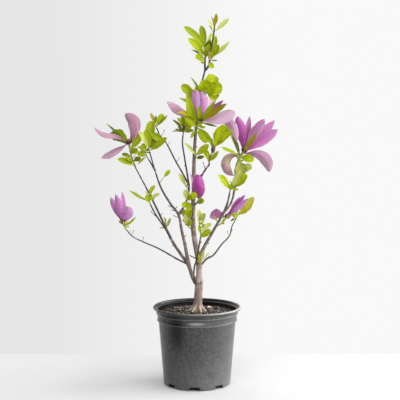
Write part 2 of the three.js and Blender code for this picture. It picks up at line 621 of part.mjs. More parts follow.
// Sprigs: short twigs round the stem by the golden angle, each with an end leaf and a side leaf.
// A sprig that would touch the wood or another leaf is left out.
function sprigsOf(spray, leafRoom) {
  const [stem] = shootsOf(spray);
  const random = { seed: spray.seed * 7919 };
  const sprigs = [];
  for (let i = 0; i < spray.sprigs; i += 1) {
    const along = 0.3 + 0.6 * (i + 0.5) / spray.sprigs;
    const bearing = i * GOLDEN_ANGLE + 360 * nextRandom(random);
    const twigLength = spray.leaf * (0.3 + 0.25 * nextRandom(random));
    const leafLength = spray.leaf * (0.85 + 0.35 * nextRandom(random));
    const root = stem.getPointAt(along);
    const lean = SPRIG_LEAN * Math.sin(THREE.MathUtils.degToRad(bearing)) + 10 * nextRandom(random);
    const front = -SPRIG_FRONT * Math.cos(THREE.MathUtils.degToRad(bearing));
    const knee = root.clone().addScaledVector(heading(lean, front), twigLength);
    const side = root.clone().lerp(knee, 0.5);
    const width = leafLength * SPRIG_SLIM;
    const blades = [
      bladeOf([0, lean, front, leafLength, width, 30, 15], 'leaf', knee),
      bladeOf([0, lean + SPRIG_SPREAD, front / 2, leafLength * 0.7, width * 0.8, 40, 15], 'leaf', side),
    ];
    const room = blades.flatMap(roomOf);
    if (!meets(room, woodRoom, 0.5) && !meets(room, leafRoom, -1)) {
      sprigs.push({ twig: new THREE.LineCurve3(root, knee), blades });
      leafRoom = [...leafRoom, ...room];
    }
  }
  return sprigs;
}

function spraySolid(spray, blades, sprigs) {
  const parts = shootsOf(spray).map((curve) => {
    const steps = Math.max(2, Math.ceil(curve.getLength() / SHOOT_STEP));
    return toSolid(bentCylinder(curve, 4, steps, tapered(spray.thick)));
  });
  if (spray.heart) {
    const [radius, length] = spray.heart;
    const stem = curveThrough(spray.stem);
    const foot = stem.getPointAt(0.985);
    const top = foot.clone().addScaledVector(stem.getTangentAt(1), length);
    const swell = (t) => Math.max(0.8, radius * Math.sin(Math.PI * (0.12 + 0.84 * t)) ** 0.7);
    parts.push(toSolid(bentCylinder(new THREE.LineCurve3(foot, top), 7, 5, swell)));
  }
  for (const { twig, blades: sprigBlades } of sprigs) {
    parts.push(toSolid(bentCylinder(twig, 3, 1, tapered(SPRIG_THICK))));
    blades = [...blades, ...sprigBlades];
  }
  for (const { line, outline, width, thick, cup } of blades) {
    parts.push(bladeSolid(line, outline, width, thick, cup));
  }
  return parts.reduce((sum, part) => sum.add(part));
}

// ---------------------------------------------------------------- pot and soil

function lathe(profile) {
  const shape = new THREE.LatheGeometry(profile.map(([r, z]) => new THREE.Vector2(r, z)), POT_TURNS);
  return shape.rotateX(Math.PI / 2);
}

const collarFoot = POT_HEIGHT - COLLAR_DROP;
const bandFoot = collarFoot - BAND_DROP;
const flangeLevel = collarFoot + RIM_FLANGE;

// Points along a quarter or half turn, for the rounded foot and the rolled rim.
const arc = (parts, pointAt) => Array.from({ length: parts + 1 }, (_, i) => pointAt(i / parts));

function potSolid() {
  const roundFoot = arc(2, (t) => {
    const a = (Math.PI / 2) * t;
    return [FOOT_RADIUS - FOOT_ROUND * (1 - Math.sin(a)), FOOT_ROUND * (1 - Math.cos(a))];
  });
  const roll = arc(3, (t) => {
    const a = Math.PI * t;
    return [RIM_RADIUS - RIM_ROLL * (1 - Math.cos(a)), POT_HEIGHT - RIM_ROLL * (1 - Math.sin(a))];
  });
  const outer = [
    [0, 0], ...roundFoot, [BODY_RADIUS, bandFoot],
    [BAND_RADIUS, bandFoot + 1.5], [BAND_RADIUS + FLARE_OUT, collarFoot - 1.5],
    [COLLAR_RADIUS, collarFoot], [COLLAR_RADIUS + FLARE_OUT, flangeLevel - RIM_ROLL],
    [RIM_RADIUS - 1, flangeLevel],
  ];
  const inner = [
    [COLLAR_RADIUS - WALL, flangeLevel - 2 * WALL], [COLLAR_RADIUS - WALL, collarFoot],
    [BODY_RADIUS - WALL, bandFoot], [FOOT_RADIUS - WALL, FOOT_ROUND],
    [FOOT_RADIUS - 2 * WALL, WALL], [0, WALL],
  ];
  let solid = toSolid(lathe([...outer, ...roll, ...inner]));
  const halfDiagonal = NOTCH_WIDTH / Math.SQRT2;
  for (let i = 0; i < NOTCHES; i += 1) {
    const top = halfDiagonal * NOTCH_NARROWS;
    const notch = new THREE.CylinderGeometry(top, halfDiagonal, 2 * NOTCH_HEIGHT, 4);
    notch.rotateY(Math.PI / 4).scale(1, 1, NOTCH_DEPTH / NOTCH_WIDTH).rotateX(Math.PI / 2);
    notch.translate(0, -FOOT_RADIUS, 0);
    notch.rotateZ(THREE.MathUtils.degToRad(NOTCH_TURN + (360 / NOTCHES) * i));
    solid = solid.subtract(toSolid(notch));
  }
  return solid;
}

// The soil fills the pot to a little under its rim, clear of the wall.
function soilSolid() {
  const floor = WALL + GAP;
  const clear = WALL + 2 * GAP;
  const top = BODY_RADIUS - clear;
  return toSolid(lathe([
    [0, floor], [FOOT_RADIUS - 2 * clear, floor], [top, bandFoot], [top, SOIL_LEVEL - SOIL_DIP],
    [SOIL_CROWN, SOIL_LEVEL], [0, SOIL_LEVEL],
  ]));
}

// ---------------------------------------------------------------- materials and assembly

const finish = (color, roughness) => new THREE.MeshStandardMaterial({ color, roughness, metalness: 0 });
const plastic = finish(0x3c3d40, 0.45);
const soil = finish(0x4a382c, 0.95);
const bark = finish(0x8a7a6c, 0.85);
const twigBark = finish(0x564b44, 0.8);
const leaf = finish(0x9bb024, 0.6);
const petal = finish(0xc273b4, 0.55);

const tree = new THREE.Group();

addPiece('pot', potSolid(), plastic);
addPiece('soil', soilSolid(), soil);

const wood = [];
for (const [name, limb] of Object.entries(LIMBS)) {
  const shapeOf = name === 'trunk' ? trunkSolid : limbSolid;
  let solid = shapeOf(limb);
  for (const spur of limb.spurs) solid = solid.add(spurSolid(limb, spur));
  for (const grown of wood) solid = solid.subtract(grown);
  let grown = shapeOf(limb, GAP);
  for (const spur of limb.spurs) grown = grown.add(spurSolid(limb, spur));
  wood.push(grown);
  addPiece(name, solid, limb.thick[0] > 3 ? bark : twigBark);
}

const blades = Object.fromEntries(Object.entries(SPRAYS).map(([name, spray]) => [name, setBlades(spray)]));
const leafRoom = Object.values(blades).flat().flatMap(roomOf);
for (const [name, spray] of Object.entries(SPRAYS)) {
  const sprigs = sprigsOf(spray, leafRoom);
  leafRoom.push(...sprigs.flatMap((sprig) => sprig.blades.flatMap(roomOf)));
  let solid = spraySolid(spray, blades[name], sprigs);
  for (const grown of wood) solid = solid.subtract(grown);
  addPiece(name, solid, spray.tepals ? petal : leaf);
}

export default tree;
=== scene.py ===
"""A young pink magnolia in flower, growing in a round black nursery pot."""

import math
import random

import bpy
import numpy as np
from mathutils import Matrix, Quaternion, Vector, noise


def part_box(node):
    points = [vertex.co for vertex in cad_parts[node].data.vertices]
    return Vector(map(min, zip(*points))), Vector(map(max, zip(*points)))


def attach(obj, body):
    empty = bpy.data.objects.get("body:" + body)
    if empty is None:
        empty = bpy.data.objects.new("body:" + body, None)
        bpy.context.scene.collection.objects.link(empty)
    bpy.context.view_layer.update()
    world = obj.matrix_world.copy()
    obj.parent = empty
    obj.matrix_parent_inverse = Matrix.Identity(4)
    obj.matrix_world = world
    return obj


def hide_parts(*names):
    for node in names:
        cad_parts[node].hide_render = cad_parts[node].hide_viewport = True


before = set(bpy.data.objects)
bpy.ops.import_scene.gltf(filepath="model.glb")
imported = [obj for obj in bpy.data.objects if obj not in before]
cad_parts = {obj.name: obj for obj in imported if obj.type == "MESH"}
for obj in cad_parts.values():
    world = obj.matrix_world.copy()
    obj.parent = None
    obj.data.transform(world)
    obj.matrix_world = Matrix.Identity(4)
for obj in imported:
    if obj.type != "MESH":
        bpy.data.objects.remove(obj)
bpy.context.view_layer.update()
MM = 0.001


# ---------------------------------------------------------------- nursery pot
# A thin-walled pot moulded in black recycled plastic. The rim rolls over a sloping flange, two shallow bands
# stiffen the wall under it, and eight notches cut through the foot let the water out.

POT_SEGMENTS = 144
RIM_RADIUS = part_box("pot")[1].x
POT_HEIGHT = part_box("pot")[1].z
RIM_ROLL = 3.2 * MM
FLANGE_LEVEL = POT_HEIGHT - 6.5 * MM
COLLAR_RADIUS = 104.5 * MM
COLLAR_FOOT = POT_HEIGHT - 19 * MM
BAND_RADIUS = 102.5 * MM
BAND_FOOT = POT_HEIGHT - 37 * MM
FLARE_OUT = 0.8 * MM
BODY_RADIUS = 100 * MM
FOOT_RADIUS = 87 * MM
FOOT_ROUND = 6 * MM
LIP_ROUND = 1.5 * MM
LIP_BEAD = 1.6 * MM
POT_WALL = 2.6 * MM
NOTCHES = 8
NOTCH_SIZE = (31 * MM, 26 * MM, 21.4 * MM)
NOTCH_NARROWS = 0.8
NOTCH_TURN = -4
# A paler patch on the front of the lower band.
PALE_PATCH_PLACE = (-2 * MM, -104 * MM, POT_HEIGHT - 27.5 * MM)
PALE_PATCH_SCALE = (32 * MM, 20 * MM, 6.5 * MM)
# The lips are lightened by wear and by painted highlights along them.
LIP_WEAR_AND_HIGHLIGHT = 0.8 * MM
# A painted highlight along the top of the rim, growing towards its right side.
RIM_HIGHLIGHT = 1.5 * MM
# How far the pot greys: towards its right side as painted sheen, and down towards its foot.
SHEEN_LEFT, SHEEN_RIGHT, GREYING_TOP, GREYING_LOW = -70 * MM, 90 * MM, 125 * MM, 10 * MM
# A painted dark reflection, a dark streak on the front left of the body.
DARK_REFLECTION_PLACE = (-53 * MM, -84 * MM, 156 * MM)
DARK_REFLECTION_SCALE = (30 * MM, 44 * MM, 74 * MM)


def deselect():
    for o in bpy.context.selected_objects:
        o.select_set(False)


def make_active(obj):
    deselect()
    obj.select_set(True)
    bpy.context.view_layer.objects.active = obj


def apply_modifier(obj, kind, **settings):
    make_active(obj)
    modifier = obj.modifiers.new(kind.lower(), kind)
    for key, value in settings.items():
        setattr(modifier, key, value)
    bpy.ops.object.modifier_apply(modifier=modifier.name)


def select_faces(obj, wanted):
    make_active(obj)
    bpy.ops.object.mode_set(mode="EDIT")
    bpy.ops.mesh.select_mode(type="FACE")
    bpy.ops.mesh.select_all(action="DESELECT")
    bpy.ops.object.mode_set(mode="OBJECT")
    for face in obj.data.polygons:
        face.select = wanted(face)


def smooth(obj, degrees):
    make_active(obj)
    bpy.ops.object.shade_smooth_by_angle(angle=math.radians(degrees))


def arc(centre, radius, start, end, parts):
    """Points (radius, height) of a profile along an arc, its angles in degrees from straight out."""
    angles = [math.radians(start + (end - start) * i / parts) for i in range(parts + 1)]
    return [(centre[0] + radius * math.cos(a), centre[1] + radius * math.sin(a)) for a in angles]


def lip(inner, outer, level):
    """The lower edge of a band: a round bead that stands out from the wall under it and from the band."""
    return [(inner, level - 0.6 * MM), (inner + 0.5 * MM, level),
            *arc((outer + LIP_BEAD - LIP_ROUND, level + LIP_ROUND), LIP_ROUND, -90, 50, 6),
            (outer, level + 2 * LIP_ROUND + LIP_BEAD)]


def turned(profile, segments):
    """Extrudes a disc ring by ring along a profile that starts and ends with a flat face."""
    bpy.ops.mesh.primitive_circle_add(vertices=segments, radius=profile[0][0], fill_type="NGON",
                                      location=(0, 0, profile[0][1]))
    made = bpy.context.object
    bpy.ops.object.mode_set(mode="EDIT")
    for (r0, z0), (r1, z1) in zip(profile, profile[1:]):
        bpy.ops.mesh.extrude_region_move(TRANSFORM_OT_translate={"value": (0, 0, z1 - z0)})
        bpy.ops.transform.resize(value=(r1 / r0, r1 / r0, 1), center_override=(0, 0, z1))
    bpy.ops.mesh.select_all(action="SELECT")
    bpy.ops.mesh.normals_make_consistent(inside=False)
    bpy.ops.object.mode_set(mode="OBJECT")
    bpy.ops.object.transform_apply(location=True)
    return made


roll_centre = (RIM_RADIUS - RIM_ROLL, POT_HEIGHT - RIM_ROLL)
outer_wall = [
    *arc((FOOT_RADIUS - FOOT_ROUND, FOOT_ROUND), FOOT_ROUND, -90, -8, 6),
    *lip(BODY_RADIUS, BAND_RADIUS, BAND_FOOT),
    *lip(BAND_RADIUS + FLARE_OUT, COLLAR_RADIUS, COLLAR_FOOT),
    (COLLAR_RADIUS + FLARE_OUT, FLANGE_LEVEL - RIM_ROLL),
    (COLLAR_RADIUS + 2 * FLARE_OUT, FLANGE_LEVEL - 1.5 * MM),
    (RIM_RADIUS - RIM_ROLL, FLANGE_LEVEL - 0.4 * MM),
    *arc(roll_centre, RIM_ROLL, -60, 170, 10),
]
inner_wall = [
    (RIM_RADIUS - 2 * RIM_ROLL - 0.4 * MM, FLANGE_LEVEL + 0.8 * MM),
    (COLLAR_RADIUS + 0.6 * MM, FLANGE_LEVEL - 0.6 * MM),
    (COLLAR_RADIUS - POT_WALL, FLANGE_LEVEL - 1.4 * MM),
    (COLLAR_RADIUS - POT_WALL, COLLAR_FOOT),
    (BODY_RADIUS - POT_WALL, BAND_FOOT),
    (FOOT_RADIUS - POT_WALL, FOOT_ROUND),
    (FOOT_RADIUS - 2 * POT_WALL, POT_WALL),
]
deselect()
pot = turned([*outer_wall, *inner_wall], POT_SEGMENTS)
pot.name = "nursery_pot"

# One cutter is shaped for the notch at the front, and copied round the foot.
deselect()
bpy.ops.mesh.primitive_cube_add(size=1)
cutter = bpy.context.object
cutter.scale = NOTCH_SIZE
bpy.ops.object.transform_apply(scale=True)
select_faces(cutter, lambda face: face.normal.z > 0.9)
bpy.ops.object.mode_set(mode="EDIT")
bpy.ops.transform.resize(value=(NOTCH_NARROWS, 1, 1), center_override=(0, 0, 0))
bpy.ops.object.mode_set(mode="OBJECT")
for i in range(NOTCHES):
    copy = cutter.copy()
    copy.data = cutter.data.copy()
    bpy.context.collection.objects.link(copy)
    turn = math.radians(NOTCH_TURN + 360 / NOTCHES * i)
    copy.location = (FOOT_RADIUS * math.sin(turn), -FOOT_RADIUS * math.cos(turn), 0)
    copy.rotation_euler.z = turn
    bpy.context.view_layer.update()
    apply_modifier(pot, "BOOLEAN", operation="DIFFERENCE", solver="EXACT", object=copy)
    bpy.data.objects.remove(copy)
bpy.data.objects.remove(cutter)
smooth(pot, 40)


def node(tree, kind, inputs=None, **settings):
    """A shader node with its settings; an input is a value, or the socket that feeds it."""
    made = tree.nodes.new("ShaderNode" + kind)
    for key, value in settings.items():
        setattr(made, key, value)
    for key, value in (inputs or {}).items():
        if isinstance(value, bpy.types.NodeSocket):
            tree.links.new(value, made.inputs[key])
        else:
            made.inputs[key].default_value = value
    return made


def maths(tree, operation, *values):
    return node(tree, "Math", dict(enumerate(values)), operation=operation).outputs[0]


def ramp(tree, value, low, high, first=0, last=1, **settings):
    """Goes from first to last while the value goes from low to high."""
    return node(tree, "MapRange", {"Value": value, "From Min": low, "From Max": high, "To Min": first,
                                   "To Max": last}, **settings).outputs["Result"]


def own_place(tree):
    return node(tree, "TexCoord").outputs["Object"]


def stored(tree, name, output="Fac"):
    """What the mesh holds under a name."""
    return node(tree, "Attribute", attribute_name=name).outputs[output]


def stretched(tree, vector, *scale):
    return node(tree, "Mapping", {"Vector": vector, "Scale": scale}).outputs["Vector"]


def grained(tree, vector, scale, detail=2):
    return node(tree, "TexNoise", {"Vector": vector, "Scale": scale, "Detail": detail}).outputs["Fac"]


def mixed(tree, factor, a, b):
    """A colour between a and b."""
    return node(tree, "Mix", {0: factor, 6: a, 7: b}, data_type="RGBA").outputs[2]


def colour(red, green, blue):
    """A colour given as it looks on a screen, from 0 to 255, as the linear value that a shader takes."""
    def linear(c):
        share = c / 255
        return share / 12.92 if share <= 0.04045 else ((share + 0.055) / 1.055) ** 2.4
    return (linear(red), linear(green), linear(blue), 1)


def make_group(name, sockets_in, outputs):
    """An empty node group with its named inputs and outputs."""
    group = bpy.data.node_groups.new(name, "ShaderNodeTree")
    for socket, kind, value in sockets_in:
        made = group.interface.new_socket(name=socket, in_out="INPUT", socket_type="NodeSocket" + kind)
        if value is not None:
            made.default_value = value
    for socket, kind in outputs:
        group.interface.new_socket(name=socket, in_out="OUTPUT", socket_type="NodeSocket" + kind)
    return group, group.nodes.new("NodeGroupInput"), group.nodes.new("NodeGroupOutput")


# Mottling: a soft cloudy mask, used by every finish that isn't even all over.
mottle, given, result = make_group(
    "mottle", [("Vector", "Vector", None), ("Scale", "Float", 100), ("Low", "Float", 0.4),
               ("High", "Float", 0.6)], [("Mask", "Float")])
clouds = node(mottle, "TexNoise", {"Vector": given.outputs["Vector"], "Scale": given.outputs["Scale"],
                                   "Detail": 4, "Roughness": 0.6})
mask = ramp(mottle, clouds.outputs["Fac"], given.outputs["Low"], given.outputs["High"])
mottle.links.new(mask, result.inputs["Mask"])


def mottled(tree, vector, scale, low, high):
    return node(tree, "Group", {"Vector": vector, "Scale": scale, "Low": low, "High": high},
                node_tree=mottle).outputs["Mask"]


def tinted(tree, base, mask, strength, tint):
    """A colour with another laid over it where the mask is."""
    return mixed(tree, maths(tree, "MULTIPLY", mask, strength), base, colour(*tint))


def bumped(tree, shader, height, strength, depth, **settings):
    """Gives a surface the relief that is too fine for its mesh."""
    bump = node(tree, "Bump", {"Height": height, "Strength": strength, "Distance": depth}, **settings)
    tree.links.new(bump.outputs["Normal"], shader.inputs["Normal"])


def new_material(name, **constants):
    """A material with its shader, whose constants are set straight on it."""
    made = bpy.data.materials.new(name)
    made.use_nodes = True
    shader = made.node_tree.nodes["Principled BSDF"]
    for key, value in constants.items():
        shader.inputs[key.replace("_", " ")].default_value = value
    return made, made.node_tree, shader


def spot(tree, place, centre, size, strength):
    """A soft oval mask round a place."""
    held = node(tree, "Mapping", {"Vector": place, "Location": centre, "Scale": size},
                vector_type="TEXTURE").outputs["Vector"]
    off = node(tree, "VectorMath", {0: held}, operation="LENGTH").outputs["Value"]
    return ramp(tree, off, 1, 0.2, 0, strength, interpolation_type="SMOOTHSTEP")


def pot_finish(name, clean, sheen_and_greying_tone, marks_and_sheen, rough, gloss_level):
    """Dusty, scuffed black plastic with worn lips, greyer low down; painted sheen, highlights and dark
    reflection.
    """
    made, tree, shader = new_material(name, IOR=1.5, Specular_IOR_Level=gloss_level)
    place = own_place(tree)
    axes = node(tree, "SeparateXYZ", {"Vector": place})
    level = axes.outputs["Z"]
    # The plastic greys towards its right side, which is painted sheen of the light from there, and greys
    # towards its foot.
    aside = ramp(tree, axes.outputs["X"], SHEEN_LEFT, SHEEN_RIGHT, 0, 0.5)
    below = ramp(tree, level, GREYING_TOP, GREYING_LOW, 0, 0.42)
    scuffs = mottled(tree, place, 30, 0.4, 0.66)
    sheen_and_greying = maths(tree, "MULTIPLY", maths(tree, "ADD", aside, below), ramp(tree, scuffs, 0, 1, 0.8, 1.15))
    dust = mottled(tree, stretched(tree, place, 1, 1, 0.6), 220, 0.44, 0.66)
    specks = mottled(tree, place, 420, 0.57, 0.68)
    body = mixed(tree, sheen_and_greying, colour(*clean), colour(*sheen_and_greying_tone))
    body = tinted(tree, body, dust, 0.26 * marks_and_sheen, (132, 131, 129))
    body = tinted(tree, body, specks, 0.3 * marks_and_sheen, (160, 158, 155))
    # A painted dark reflection on the front left of the body.
    body = mixed(tree, spot(tree, place, DARK_REFLECTION_PLACE, DARK_REFLECTION_SCALE, 1), body, colour(12, 12, 13))
    # A paler patch on the front of the lower band.
    body = mixed(tree, spot(tree, place, PALE_PATCH_PLACE, PALE_PATCH_SCALE, 0.6 * marks_and_sheen), body, colour(170, 169, 166))
    # The lips are lightened by wear and by painted highlights along them.
    for lip_foot in (BAND_FOOT, COLLAR_FOOT):
        on_lip = maths(tree, "COMPARE", level, lip_foot + LIP_ROUND, LIP_WEAR_AND_HIGHLIGHT)
        body = tinted(tree, body, on_lip, 0.3 * marks_and_sheen, (168, 167, 164))
    # A painted highlight along the top of the rim, growing towards its right side.
    on_rim = maths(tree, "COMPARE", level, POT_HEIGHT - RIM_HIGHLIGHT, RIM_HIGHLIGHT)
    body = tinted(tree, body, maths(tree, "MULTIPLY", on_rim, aside), 1.6 * marks_and_sheen, (190, 189, 186))
    tree.links.new(body, shader.inputs["Base Color"])
    tree.links.new(ramp(tree, scuffs, 0, 1, rough, rough + 0.12), shader.inputs["Roughness"])
    bumped(tree, shader, grained(tree, place, 900), 0.25, 0.2 * MM)
    return made


pot.data.materials.append(pot_finish("black_pot_outside", (34, 34, 35), (114, 114, 113), 1, 0.3, 0.25))
# The inside is a darker copy of the outside plastic: painted shade within the pot.
pot.data.materials.append(pot_finish("black_pot_inside_shaded", (10, 10, 11), (26, 26, 27), 0.1, 0.26, 0.5))
for face in pot.data.polygons:
    inner = face.normal.x * face.center.x + face.normal.y * face.center.y < -0.2 * face.center.length
    face.material_index = int(inner)
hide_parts("pot")
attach(pot, "root")


# ---------------------------------------------------------------- potting mix
# Damp bark mix that fills the pot to a little under its rim. Its crumbly top is strewn with chips of bark,
# a few pale wood chips and white beads of perlite.

SOIL_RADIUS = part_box("soil")[1].x
SOIL_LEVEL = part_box("soil")[1].z
SOIL_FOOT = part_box("soil")[0].z
SOIL_DIP = 4 * MM
SOIL_RING = 2.2 * MM
SOIL_CRUMB = 2.2 * MM
CHIPS = 820
PERLITE = 260
TRUNK_CLEAR = 12 * MM
STREW_SEED = 7
CHIP_LENGTH, CHIP_SLIM, CHIP_THICK, BEAD_SIZE = (3, 11), (0.25, 0.6), (0.8, 2.4), (0.9, 2.3)
CHIP_MIX = (0, 0, 0, 1, 1, 1, 2, 3)
PALE_CHIPS = ((3, 32, 57, 18, 9, 4), (5, 44, -8, 8, 3, 2))     # seed, place, length, width, thickness

deselect()
soil = turned([(FOOT_RADIUS - 3 * POT_WALL, SOIL_FOOT), (SOIL_RADIUS, BAND_FOOT),
               (SOIL_RADIUS, SOIL_LEVEL - SOIL_DIP)], POT_SEGMENTS)
soil.name = "potting_mix"
select_faces(soil, lambda face: face.normal.z > 0.9)
bpy.ops.object.mode_set(mode="EDIT")
rings = int(SOIL_RADIUS / SOIL_RING) - 1
for i in range(rings):
    bpy.ops.mesh.inset(thickness=SOIL_RING, depth=0)
bpy.ops.object.mode_set(mode="OBJECT")


def soil_height(x, y):
    """The height of the crumbly top at a place."""
    out = min(1, math.hypot(x, y) / SOIL_RADIUS)
    coarse = noise.noise(Vector((x, y, 0)) * 60)
    fine = noise.noise(Vector((x, y, 0.5)) * 260)
    relief = SOIL_CRUMB * (0.7 * coarse + 0.5 * fine)
    return SOIL_LEVEL - SOIL_DIP * out ** 2 - 0.8 * MM + relief * min(1, 6 * (1 - out))


for vertex in soil.data.vertices:
    if vertex.co.z > SOIL_LEVEL - SOIL_DIP - 0.1 * MM and vertex.co.xy.length < SOIL_RADIUS - 0.1 * MM:
        vertex.co.z = soil_height(vertex.co.x, vertex.co.y)
soil.data.update()
smooth(soil, 60)

mix, tree, shader = new_material("damp_mix", Roughness=0.95)
place = own_place(tree)
crumbs = node(tree, "TexVoronoi", {"Vector": place, "Scale": 330}).outputs["Distance"]
tone = mixed(tree, mottled(tree, place, 150, 0.35, 0.7), colour(22, 19, 17), colour(62, 51, 43))
tree.links.new(tone, shader.inputs["Base Color"])
bumped(tree, shader, crumbs, 0.9, 1.2 * MM)
soil.data.materials.append(mix)
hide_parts("soil")
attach(soil, "root")


class Batch:
    """Many small shapes gathered into one mesh, each face with its finish and each point with its pattern."""

    def __init__(self):
        self.points, self.faces, self.finishes, self.patterns = [], [], [], []

    def add(self, points, faces, finishes, patterns=None):
        first = len(self.points)
        self.points += [tuple(p) for p in points]
        self.faces += [tuple(first + i for i in face) for face in faces]
        self.finishes += [finishes] * len(faces) if isinstance(finishes, int) else list(finishes)
        self.patterns += [(0, 0, 0)] * len(points) if patterns is None else list(patterns)

    def build(self, name, materials, smooth_degrees):
        data = bpy.data.meshes.new(name)
        data.from_pydata(self.points, [], self.faces)
        for material in materials:
            data.materials.append(material)
        data.polygons.foreach_set("material_index", self.finishes)
        pattern = data.attributes.new("pattern", "FLOAT_VECTOR", "POINT")
        pattern.data.foreach_set("vector", np.array(self.patterns, np.float32).ravel())
        data.validate()
        made = bpy.data.objects.new(name, data)
        bpy.context.collection.objects.link(made)
        make_active(made)
        bpy.ops.object.mode_set(mode="EDIT")
        bpy.ops.mesh.select_all(action="SELECT")
        bpy.ops.mesh.normals_make_consistent(inside=False)
        bpy.ops.object.mode_set(mode="OBJECT")
        smooth(made, smooth_degrees)
        return made


CUBE = [(x, y, z) for x in (-0.5, 0.5) for y in (-0.5, 0.5) for z in (-0.5, 0.5)]
CUBE_FACES = [(0, 1, 3, 2), (4, 6, 7, 5), (0, 4, 5, 1), (2, 3, 7, 6), (0, 2, 6, 4), (1, 5, 7, 3)]


def chip(rand, x, y, length, width, thick):
    """A splintered chip that lies on the mix at any angle, with uneven corners."""
    turn = Quaternion((0, 0, 1), rand.uniform(0, 2 * math.pi))
    tip = Quaternion((rand.uniform(-1, 1), rand.uniform(-1, 1), 0.01), rand.uniform(-0.45, 0.45))
    centre = Vector((x, y, soil_height(x, y) + 0.25 * thick))
    corners = []
    for u, v, w in CUBE:
        ragged = Vector((u * length, v * width, w * thick)) * rand.uniform(0.6, 1.15)
        corners.append(centre + turn @ (tip @ ragged))
    return corners


def strewn(rand, clear):
    """A place on the mix that is clear of the trunk and of the wall."""
    while True:
        x, y = rand.uniform(-1, 1) * SOIL_RADIUS, rand.uniform(-1, 1) * SOIL_RADIUS
        if clear < math.hypot(x, y) < SOIL_RADIUS - 5 * MM:
            return x, y


rand = random.Random(STREW_SEED)
strew = Batch()
for i in range(CHIPS):
    x, y = strewn(rand, TRUNK_CLEAR)
    length = rand.uniform(*CHIP_LENGTH) * MM
    strew.add(chip(rand, x, y, length, length * rand.uniform(*CHIP_SLIM), rand.uniform(*CHIP_THICK) * MM),
              CUBE_FACES, rand.choice(CHIP_MIX))
for i in range(PERLITE):
    x, y = strewn(rand, TRUNK_CLEAR)
    bead = rand.uniform(*BEAD_SIZE) * MM
    strew.add(chip(rand, x, y, bead, bead, bead), CUBE_FACES, 4)
for seed, *sizes in PALE_CHIPS:
    strew.add(chip(random.Random(seed), *[size * MM for size in sizes]), CUBE_FACES, 5)

chip_finishes = []
for name, tones in {
    "chip_black": (colour(20, 17, 15), colour(40, 33, 29)),
    "chip_brown": (colour(52, 41, 34), colour(84, 68, 57)),
    "chip_russet": (colour(74, 55, 44), colour(108, 82, 66)),
    "chip_grey": (colour(104, 96, 88), colour(150, 140, 130)),
    "perlite": (colour(186, 182, 174), colour(226, 224, 218)),
    "chip_pale": (colour(216, 190, 150), colour(236, 218, 188)),
}.items():
    material, tree, shader = new_material(name, Roughness=0.9)
    fibres = stretched(tree, own_place(tree), 1, 3, 3)
    tree.links.new(mixed(tree, mottled(tree, fibres, 500, 0.4, 0.62), *tones), shader.inputs["Base Color"])
    chip_finishes.append(material)
chips = strew.build("bark_chips", chip_finishes, 30)
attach(chips, "root")


# ---------------------------------------------------------------- trunk and boughs
# The stout wood of the plant: the trunk with its root toes and a healed pruning stub, the main boughs and the
# lower branches. Each limb is a tapering rod bent along its route; the rods are melted into one skin, then
# given rings, furrows and lumps. Routes and radii are in millimetres, from the middle of the pot's underside.

